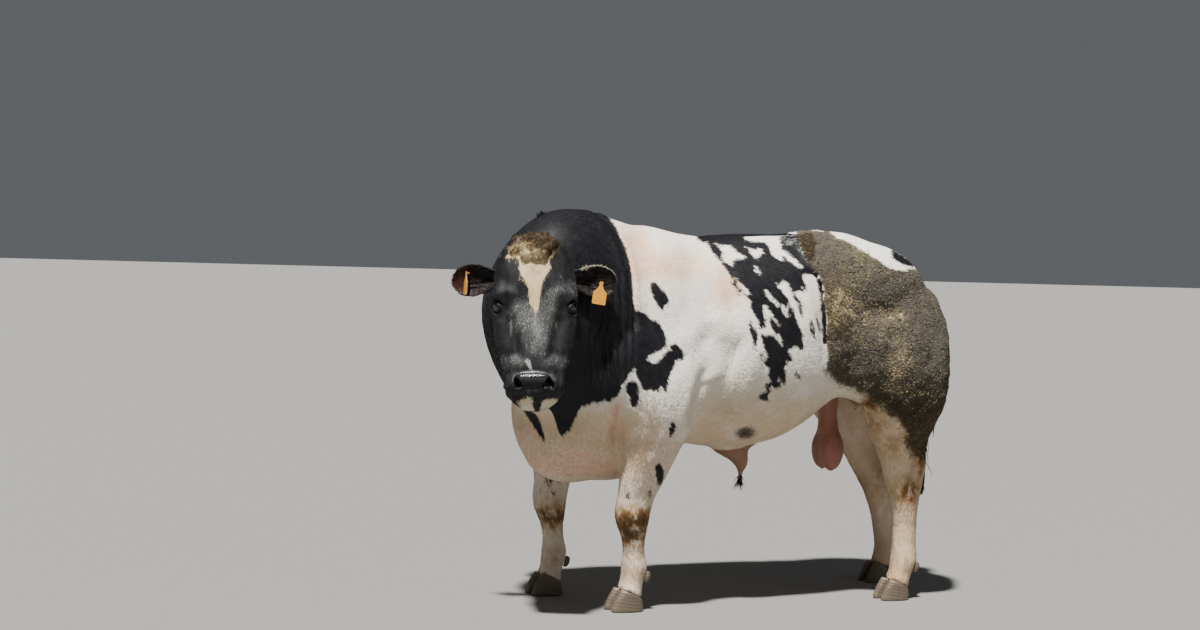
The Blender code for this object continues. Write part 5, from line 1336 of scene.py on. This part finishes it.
def add_crumbs():
    count = CRUMBS
    mud = np.clip(mud_amount(skin.middles), 0, 1)
    rear = 0.35 + 0.65 * smooth(skin.middles[:, 0], 0.90, 1.10)
    points, facing, flat = skin.scatter(count, (zones == "coat_rump") * mud**2 * rear)
    side = unit(np.cross(facing, unit(RNG.normal(0, 1, (count, 3)))))
    ahead = np.cross(facing, side)
    size = RNG.uniform(0.0035, 0.0095, count) * 1.0
    ring = []
    for k in range(CRUMB_SIDES):
        angle = (k + RNG.uniform(-0.3, 0.3, count)) * 2 * math.pi / CRUMB_SIDES
        reach = size * RNG.uniform(0.65, 1.15, count)
        aside, along = (np.cos(angle) * reach)[:, None], (np.sin(angle) * reach * 0.7)[:, None]
        ring.append(points + side * aside + ahead * along)
    top = points + facing * (size * RNG.uniform(0.25, 0.50, count))[:, None] + side * (size * 0.2)[:, None]
    where = np.stack([*ring, top, points - facing * 0.002], 1)
    where[:, :CRUMB_SIDES] += (facing * 0.0006)[:, None]
    faces = []
    for k in range(CRUMB_SIDES):
        after = (k + 1) % CRUMB_SIDES
        faces += [(k, after, CRUMB_SIDES), (after, k, CRUMB_SIDES + 1)]
    add_coat("coat_crumbs", many_bodies("coat_crumbs", where, faces, flat, points, 1.2))


add_crumbs()


def drawn(limits, count):
    """A seeded number for each, between two limits, or one number as it is."""
    return RNG.uniform(*limits, count) if isinstance(limits, tuple) else limits


def add_locks(name, place, lie, length, bend, radius, own=None, jitter=0.0):
    """Locks at places of a skin. bend holds steps, start and turn, then wave and waves."""
    points, facing, flat = place
    count = len(points)
    length = drawn(length, count)
    steps, start, *others = bend
    paths = lock_paths(points, facing, lie, length, steps, drawn(start, count), *others)
    add_coat(name, lock_mesh(name, paths, drawn(radius, count), flat), own, jitter=jitter)


# The fluffy poll and blaze, and the few long hairs on the crest
POLL_LOCKS, BLAZE_LOCKS, CREST_LOCKS, CREST = 4200, 2400, 80, (-0.383, -0.104, 1.478)


def add_curls():
    u, s, w = in_head(skin.middles)
    near = is_head(skin.middles) * (w > -0.10)
    blaze = outline_depth(np.stack([s, u], 1), BLAZE)
    poll = np.exp(-(((u - 0.030) / 0.050) ** 2) - ((s + 0.010) / 0.074) ** 2) * near
    count = POLL_LOCKS
    place = skin.scatter(count, np.where(poll > 0.05, poll**1.5, 0))
    u_root, s_root, _ = in_head(place[0])
    lie = np.outer(0.55 + (u_root - 0.02) * 5, HEAD_U) + np.outer(s_root * 7 - 0.35, HEAD_S)
    lie = lie + RNG.normal(0, 0.38, (count, 3))
    bend = (6, (0.35, 1.05), 1.9, 0.10, 1.3)
    add_locks("poll_curls", place, lie, (0.016, 0.034), bend, (0.0005, 0.0011), jitter=0.017)
    count = BLAZE_LOCKS
    place = skin.scatter(count, near * (blaze > -0.006) * (w > -0.03))
    lie = np.outer(np.ones(count), HEAD_U) + np.outer(RNG.normal(-0.15, 0.35, count), HEAD_S)
    bend = (5, 0.35, 0.55, 0.05, 1.0)
    add_locks("blaze_hair", place, lie, (0.012, 0.022), bend, (0.0006, 0.0011), jitter=0.008)


def add_crest():
    spread = np.outer(RNG.uniform(-1, 1, CREST_LOCKS), (0.026, 0.024, 0.003))
    place = skin.nearest(np.array(CREST) + spread)
    lie = np.array([-0.5, -0.5, 0.1]) + RNG.normal(0, 0.35, place[0].shape)
    bend = (6, (0.5, 1.3), 0.6, 0.05, 1.0)
    add_locks("crest_tuft", place, lie, (0.014, 0.032), bend, 0.0009, (0.05, 0.042, 0.038))


add_curls()
add_crest()
SIDES = {"left": 1, "right": -1}


# Ears
EAR_BACK_TUFTS, EAR_INSIDE_LOCKS, EAR_TUFT_LOCKS, EAR_FRINGE_LOCKS = 2600, 420, 40, 520


def ear_shape(side, root, axis, across, opening):
    """The skin of one ear, with a rounded root and folds inside, and what it is painted from."""
    bm = bmesh.new()
    bm.from_mesh(welded_copy(f"ear_{side}", 0.0))
    turn = Matrix([axis * 0.034, across * 0.027, opening * 0.026]).transposed().to_4x4()
    turn.translation = Vector(root - axis * 0.012 - opening * 0.012)
    bmesh.ops.create_uvsphere(bm, u_segments=20, v_segments=12, radius=1.0, matrix=turn)
    mesh = remeshed(bm_mesh(bm, "ear"), EAR_VOXEL)
    keep_largest(mesh)
    places = relax(coordinates(mesh), edge_pairs(mesh), EAR_ROUNDS)
    set_coordinates(mesh, places)
    normals = vertex_normals(mesh)
    rel = places - root
    far, wide = rel @ axis, rel @ across
    inside = smooth(normals @ opening, 0.15, 0.55) * smooth(far, 0.012, 0.03)
    folds = np.sin(wide * 2 * math.pi / 0.017 + far * 20) * inside * smooth(far, 0.02, 0.06)
    depth = 0.0013 * folds * (1 - smooth(far, 0.10, 0.15))
    places = places - normals * 0.0006 - opening * depth[:, None]
    edge = bump(normals @ opening - 0.2, 0.30) * smooth(far, 0.05, 0.09)
    return mesh, places, far, wide, inside, edge


def build_ear(side, sign):
    root = on_head(0.128, sign * 0.128, -0.058)
    axis = unit(HEAD_S * sign * 0.90 + HEAD_U * 0.06 - HEAD_W * 0.22)
    opening = HEAD_W * 0.93 + HEAD_U * 0.22 + HEAD_S * sign * 0.22
    opening = unit(opening - axis * (opening @ axis))
    across = np.cross(opening, axis)
    mesh, places, far, wide, inside, edge = ear_shape(side, root, axis, across, opening)
    if side == "left":
        pale = edge * 0.60 * smooth(wide * sign, -0.010, 0.025)
        colour = np.where((pale > inside)[:, None], (0.42, 0.36, 0.27), (0.016, 0.012, 0.011))
    else:
        pale = edge * 0.25
        colour = blend((0.016, 0.011, 0.010), (0.060, 0.021, 0.012), smooth(far, 0.100, 0.145)[:, None])
    painted = np.concatenate([colour, np.maximum(pale, inside * 0.9)[:, None]], axis=1)
    paint(mesh, places, np.full(len(places), 0.5), painted)
    ear = Surface(f"ear_skin_{side}", mesh, places, skin_material)
    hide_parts(f"ear_{side}")
    far = (ear.middles - root) @ axis
    facing_out = unit(ear.normals[ear.corners].sum(axis=1)) @ opening
    cover = smooth(far, 0.0, 0.02)
    count = EAR_BACK_TUFTS
    back = ear.scatter(count, cover * (facing_out < 0.2))
    made = tuft_mesh("ear_back", back, np.tile(axis, (count, 1)), 0.009, 0.0026, 0.0008, 0.10, 0.1)
    add_coat(f"ear_coat_{side}", made, np.tile((0.014, 0.011, 0.010, 0.75), (count, 1)))
    front = ear.scatter(EAR_INSIDE_LOCKS, cover * (facing_out > 0.45) * smooth(far, 0.0, 0.05))
    from_root = front[0] - root
    toward = axis * 0.6 + np.outer(-np.sign(from_root @ across), across) * 0.8
    red = smooth(from_root @ axis, 0.100, 0.140)[:, None] * (side == "right")
    inner = blend((0.016, 0.012, 0.011, 1.0), (0.060, 0.022, 0.013, 1.0), red)
    add_locks(f"ear_inside_{side}", front, toward, (0.014, 0.028), (5, 0.7, 0.9, 0.05, 1.0), 0.0009, inner)
    if side == "left":
        count = EAR_TUFT_LOCKS
        target = root + axis * 0.038 + across * (sign * 0.036) + opening * 0.030
        place = ear.nearest(target + RNG.normal(0, 0.004, (count, 3)))
        lie = axis * 0.9 + across * sign * 0.35 + RNG.normal(0, 0.25, (count, 3))
        bend = (6, 0.8, 1.0, 0.05, 1.0)
        add_locks("ear_tuft", place, lie, (0.012, 0.024), bend, 0.0009, (0.50, 0.43, 0.33))
    add_fringe(side, sign, ear, facing_out, far, (root, axis, across, opening))


def add_fringe(side, sign, ear, facing_out, far, frame_of_ear):
    """Hairs along the rim of an ear, pale along the upper rim of the left one."""
    root, axis, across, opening = frame_of_ear
    count, name = EAR_FRINGE_LOCKS, f"ear_fringe_{side}"
    points, facing, flat = ear.scatter(count, bump(facing_out - 0.1, 0.30) * smooth(far, 0.03, 0.07))
    wide = (points - root) @ across
    outward = axis * 0.5 + np.outer(wide * 16, across) + opening * 0.15
    length = RNG.uniform(0.010, 0.020, count)
    paths = lock_paths(points, facing, outward, length, 5, 0.25, 0.5, 0.04, 1.0)
    if side == "left":
        pale = smooth(wide * sign + RNG.normal(0, 0.006, count), -0.005, 0.030)[:, None]
        colour = blend((0.030, 0.025, 0.020), (0.36, 0.32, 0.26), pale)
    else:
        colour = np.tile((0.030, 0.019, 0.015), (count, 1))
    made = lock_mesh(name, paths, 0.0010, flat)
    add_coat(name, made, np.concatenate([colour, np.ones((count, 1))], axis=1))


for side, sign in SIDES.items():
    build_ear(side, sign)


# Eyes and lashes
def eye_material():
    """Brown iris with spokes, a wide dark pupil, and the veined white round it."""
    m = Shader("eye_surface")
    gaze = m.field("gaze", "Vector")
    a, b, _ = m.node("SeparateXYZ", {0: gaze}).outputs
    reach = m.length(a, b)
    spokes = m.node("CombineXYZ", {0: m.mul(m.math("ARCTAN2", b, a), 9.0), 1: reach}).outputs[0]
    iris = m.mix(m.noise(spokes, 2.2, 4.0, 0.7), (0.016, 0.008, 0.004), (0.085, 0.040, 0.016))
    pupil = m.length(m.math("DIVIDE", a, 0.36), m.math("DIVIDE", b, 0.19))
    iris = m.mix(m.ramp(pupil, 0.92, 1.08), (0.004, 0.004, 0.006), iris)
    veins = m.ramp(m.noise(gaze, 9.0, 5.0, 0.7), 0.5, 0.7)
    white = m.mix(veins, (0.36, 0.31, 0.27), (0.30, 0.10, 0.075))
    ring = m.mix(m.ramp(reach, 0.60, 0.72), iris, (0.030, 0.018, 0.014))
    return m.cover({"Base Color": m.mix(m.ramp(reach, 0.76, 0.86), ring, white), "Roughness": 0.06,
                    "Coat Weight": 1.0, "Coat Roughness": 0.03})


def build_eye(side, sign, material):
    centre, gaze, corner, rise = eye_frame(sign)
    bm = bmesh.new()
    bmesh.ops.create_uvsphere(bm, u_segments=48, v_segments=32, radius=1.0)
    mesh = bm_mesh(bm, f"eyeball_{side}")
    ball = coordinates(mesh)
    a, b, g = ball.T
    clear = 1 + 0.055 * np.clip(1 - np.hypot(a, b) / 0.75, 0, 1) ** 0.8 * (g > 0)
    size = (EYEBALL_RADIUS - 0.0006) * clear
    places = centre + (np.outer(a * size, corner) + np.outer(b * size, rise) + np.outer(g * size, gaze))
    set_field(mesh, "gaze", ball)
    eye = add_piece(f"eyeball_{side}", mesh, places, material)
    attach(eye, "root")
    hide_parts(f"eye_{side}")


eye_surface = eye_material()
for side, sign in SIDES.items():
    build_eye(side, sign, eye_surface)


LASH_ROWS, LASHES, LASH_RISE = 2, 26, 0.0098


def add_lashes():
    """Two rows along the edge of each upper lid."""
    targets, ways = [], []
    for sign in (-1, 1):
        centre, gaze, corner, rise = eye_frame(sign)
        for row in range(LASH_ROWS):
            for share in np.linspace(-1, 1, LASHES):
                a = share * OPENING_LONG * 0.92
                b = LASH_RISE * max(1 - (a / OPENING_LONG) ** 2, 0) ** 0.75 + 0.0010 + 0.0012 * row
                targets.append(centre + corner * a + rise * b + gaze * EYEBALL_RADIUS)
                ways.append(gaze * 0.9 + corner * a * 22 + rise * 0.15 - np.array(UP) * 0.35)
    targets = np.array(targets)
    place = (targets, *skin.nearest(targets)[1:])
    bend = (5, 0.35, -0.5, 0.0)
    add_locks("eye_lashes", place, np.array(ways), (0.010, 0.017), bend, 0.00045, (0.012, 0.010, 0.010))


add_lashes()

# Hair of the tail's end and of the sheath
SWITCH_DARK, SWITCH_DEPTH, SWITCH_LOCKS, SHEATH_LOCKS = (0.016, 0.013, 0.013), 0.004, 900, 110


def in_bull(corners):
    """Corners of a box, in the bull's own system."""
    return [np.array(corner) - MOVE for corner in corners]


def add_switch():
    """A dark core with locks that hang down from it, kept inside the node's box."""
    low, high = in_bull(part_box("tail_switch"))
    middle = (low + high) / 2
    core = remeshed(welded_copy("tail_switch", -SWITCH_DEPTH), SWITCH_VOXEL)
    places = relax(coordinates(core), edge_pairs(core), SWITCH_ROUNDS)
    places[:, :2] = middle[:2] + (places[:, :2] - middle[:2]) * 0.82
    paint(core, places, np.full(len(places), 0.3), SWITCH_DARK)
    hair = Surface("switch_core", core, places, skin_material, "switch_hair")
    count = SWITCH_LOCKS
    points, facing, flat = hair.scatter(count, (hair.middles[:, 2] > low[2] + 0.05) + 0.0)
    facing = unit(facing * np.array([1, 1, 0.15]))
    length = np.minimum(RNG.uniform(0.10, 0.22, count), points[:, 2] - low[2])
    lie = np.array([0.03, 0.0, -1.0]) + RNG.normal(0, 0.025, (count, 3))
    paths = lock_paths(points, facing, lie, length, 9, 0.08, 0.16, 0.014, RNG.uniform(1.0, 2.4))
    paths = np.clip(paths, low + 0.001, high - 0.001)
    made = lock_mesh("switch_hair", paths, RNG.uniform(0.0022, 0.0042, count), flat)
    add_coat("switch_hair", made, SWITCH_DARK)
    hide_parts("tail_switch")


def add_sheath_tuft():
    low, high = in_bull(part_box("sheath"))
    tip = np.array([(low[0] + high[0]) / 2, (low[1] + high[1]) / 2, low[2]])
    near = skin.places[np.linalg.norm(skin.places - tip, axis=1) < 0.08]
    lowest = near[near[:, 2].argmin()]
    count = SHEATH_LOCKS
    place = skin.nearest(lowest + np.array([0, 0, 0.024]) + RNG.normal(0, 0.010, (count, 3)))
    lie = np.array([-0.10, 0.0, -1.0]) + RNG.normal(0, 0.10, (count, 3))
    bend = (7, 0.15, 0.3, 0.03, 1.3)
    add_locks("sheath_tuft", place, lie, (0.030, 0.075), bend, 0.0017, (0.022, 0.016, 0.014))


add_switch()
add_sheath_tuft()


# Claws
def horn_material():
    """Ringed grey-brown horn, paler at the top, with dirt near the ground."""
    m = Shader("claw_surface")
    place, rise = m.field("root", "Vector"), m.field("rise")
    wobble = m.noise(place, 26.0, 3.0)
    rings = m.math("SINE", m.plus(m.mul(rise, 520.0), wobble, 5.0))
    rings = m.plus(0.5, rings, 0.5)
    grain = m.noise(m.stretched(place, (0.0016, 0.0016, 0.022), CLAW_TURN), 1.0, 3.0)
    colour = m.mix(grain, (0.060, 0.045, 0.033), (0.155, 0.118, 0.082))
    colour = m.mix(m.mul(rings, 0.45), colour, (0.050, 0.038, 0.030))
    pale = m.ramp(m.plus(rise, wobble, 0.02), 0.075, 0.095)
    colour = m.mix(m.mul(pale, 0.5), colour, (0.30, 0.23, 0.16))
    dirt = m.ramp(m.noise(place, 55.0, 4.0, 0.7), 0.52, 0.66)
    low = m.sub(1.0, m.ramp(rise, 0.004, 0.034))
    colour = m.mix(m.mul(m.math("MAXIMUM", m.mul(dirt, 0.6), low), 0.8), colour, (0.11, 0.088, 0.055))
    height = m.plus(m.mul(rings, 0.6), grain, 0.7)
    return m.cover({"Base Color": colour, "Roughness": m.plus(0.42, dirt, 0.35),
                    "Normal": m.relief(height, 0.55, 0.0012)})


horn_surface = horn_material()
FLOOR_GAP, SOLE_DEPTH = 0.0002, 0.0022


def build_claw(name):
    is_dewclaw = name.startswith("dewclaw")
    mesh = remeshed(welded_copy(name, 0.0), DEWCLAW_VOXEL if is_dewclaw else CLAW_VOXEL)
    places = relax(coordinates(mesh), edge_pairs(mesh), CLAW_ROUNDS)
    set_coordinates(mesh, places)
    places = places - vertex_normals(mesh) * 0.0003
    if not is_dewclaw:
        places[:, 2] = np.where(places[:, 2] < SOLE_DEPTH, FLOOR_GAP, places[:, 2])
    rise = places[:, 2] + 0.126 * (places[:, 0] - places[:, 0].mean())
    if is_dewclaw:
        rise = rise - rise.min() + 0.008
    set_field(mesh, "root", places)
    set_field(mesh, "rise", rise)
    claw = add_piece(f"horn_{name}", mesh, places, horn_surface)
    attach(claw, "root")
    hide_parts(name)


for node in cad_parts:
    if "claw_" in node:
        build_claw(node)


# Tags
def tag_material():
    """Worn yellow plastic, scratched and grimy."""
    m = Shader("tag_surface")
    place = m.node("NewGeometry").outputs["Position"]
    colour = m.mix(m.noise(place, 60.0, 4.0, 0.6), (0.52, 0.21, 0.014), (0.62, 0.30, 0.030))
    scratches = m.noise(m.stretched(place, (0.0008, 0.012, 0.004), (0.4, 0.2, 0.3)), 1.0, 3.0, 0.7)
    colour = m.mix(m.mul(m.ramp(scratches, 0.60, 0.74), 0.45), colour, (0.82, 0.50, 0.16))
    grime = m.ramp(m.noise(place, 95.0, 4.0, 0.7), 0.54, 0.72)
    colour = m.mix(m.mul(grime, 0.40), colour, (0.20, 0.10, 0.035))
    return m.cover({"Base Color": colour, "Roughness": m.plus(0.40, grime, 0.3),
                    "Subsurface Weight": 0.12, "Subsurface Radius": (0.004, 0.002, 0.001),
                    "Normal": m.relief(scratches, 0.25, 0.0006)})


tag_surface = tag_material()
for side in SIDES:
    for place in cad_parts[f"ear_tag_{side}"].material_slots:
        place.material = tag_surface

# Stage, light and camera. Lengths in the picture are in its pixels.
PICTURE_WIDE, PICTURE_HIGH, FOCAL, HORIZON_ROW, ANCHOR_COLUMN = 1200, 630, 2400, 183, 639
CAMERA_TURN, CAMERA_ROLL = math.radians(26), math.radians(2.5)
CAMERA_DISTANCE, CAMERA_HEIGHT, SENSOR_WIDTH = 8.9, 1.59, 36


def build_camera():
    """Looks at the left fore foot over the anchor's column, with the horizon in its row."""
    ahead = Vector((math.sin(CAMERA_TURN), math.cos(CAMERA_TURN), 0))
    aside = Vector((math.cos(CAMERA_TURN), -math.sin(CAMERA_TURN), 0))
    anchor = Vector((0.0, -HALF_STANCE, 0)) + Vector(MOVE)
    sideways = (ANCHOR_COLUMN - PICTURE_WIDE / 2) / FOCAL * CAMERA_DISTANCE
    place = anchor - ahead * CAMERA_DISTANCE - aside * sideways + UP * CAMERA_HEIGHT
    pitch = math.atan((PICTURE_HIGH / 2 - HORIZON_ROW) / FOCAL)
    look = ahead * math.cos(pitch) - UP * math.sin(pitch)
    data = bpy.data.cameras.new("camera")
    data.sensor_width = SENSOR_WIDTH
    data.lens = FOCAL / PICTURE_WIDE * SENSOR_WIDTH
    camera = add_object("camera", data)
    turn = look.to_track_quat("-Z", "Y").to_matrix().to_4x4()
    camera.matrix_world = Matrix.Translation(place) @ turn @ Matrix.Rotation(CAMERA_ROLL, 4, "Z")
    bpy.context.scene.camera = camera


def build_light(name, kind, toward, power, colour):
    """A light whose rays come from the direction that toward points in."""
    data = bpy.data.lights.new(name, kind)
    data.energy = power
    data.color = colour
    lamp = add_object(name, data)
    lamp.rotation_euler = Vector(toward).to_track_quat("Z", "Y").to_euler()
    return lamp


build_camera()
build_light("key", "SUN", (-0.34, -0.36, 1.0), 11.0, (1.0, 0.97, 0.92)).data.angle = math.radians(3)
FILL_PLACE, FILL_TARGET = Vector((3.5, -5.0, 2.2)), Vector((0.2, 0, 0.9))
fill = build_light("fill", "AREA", FILL_PLACE - FILL_TARGET, 25, (0.93, 0.96, 1.0))
fill.location = FILL_PLACE
fill.data.shape, fill.data.size = "DISK", 4.0
world = bpy.data.worlds.new("world")
world.use_nodes = True
backdrop = world.node_tree.nodes["Background"].inputs
backdrop["Color"].default_value = (0.86, 0.90, 0.95, 1)
backdrop["Strength"].default_value = 0.14
bpy.context.scene.world = world
bpy.ops.mesh.primitive_plane_add(size=60, location=(0, 0, 0))
floor = bpy.context.object
floor.name = "floor"
plain = Shader("floor_surface").cover({"Base Color": (0.20, 0.20, 0.196), "Roughness": 0.9})
floor.data.materials.append(plain)
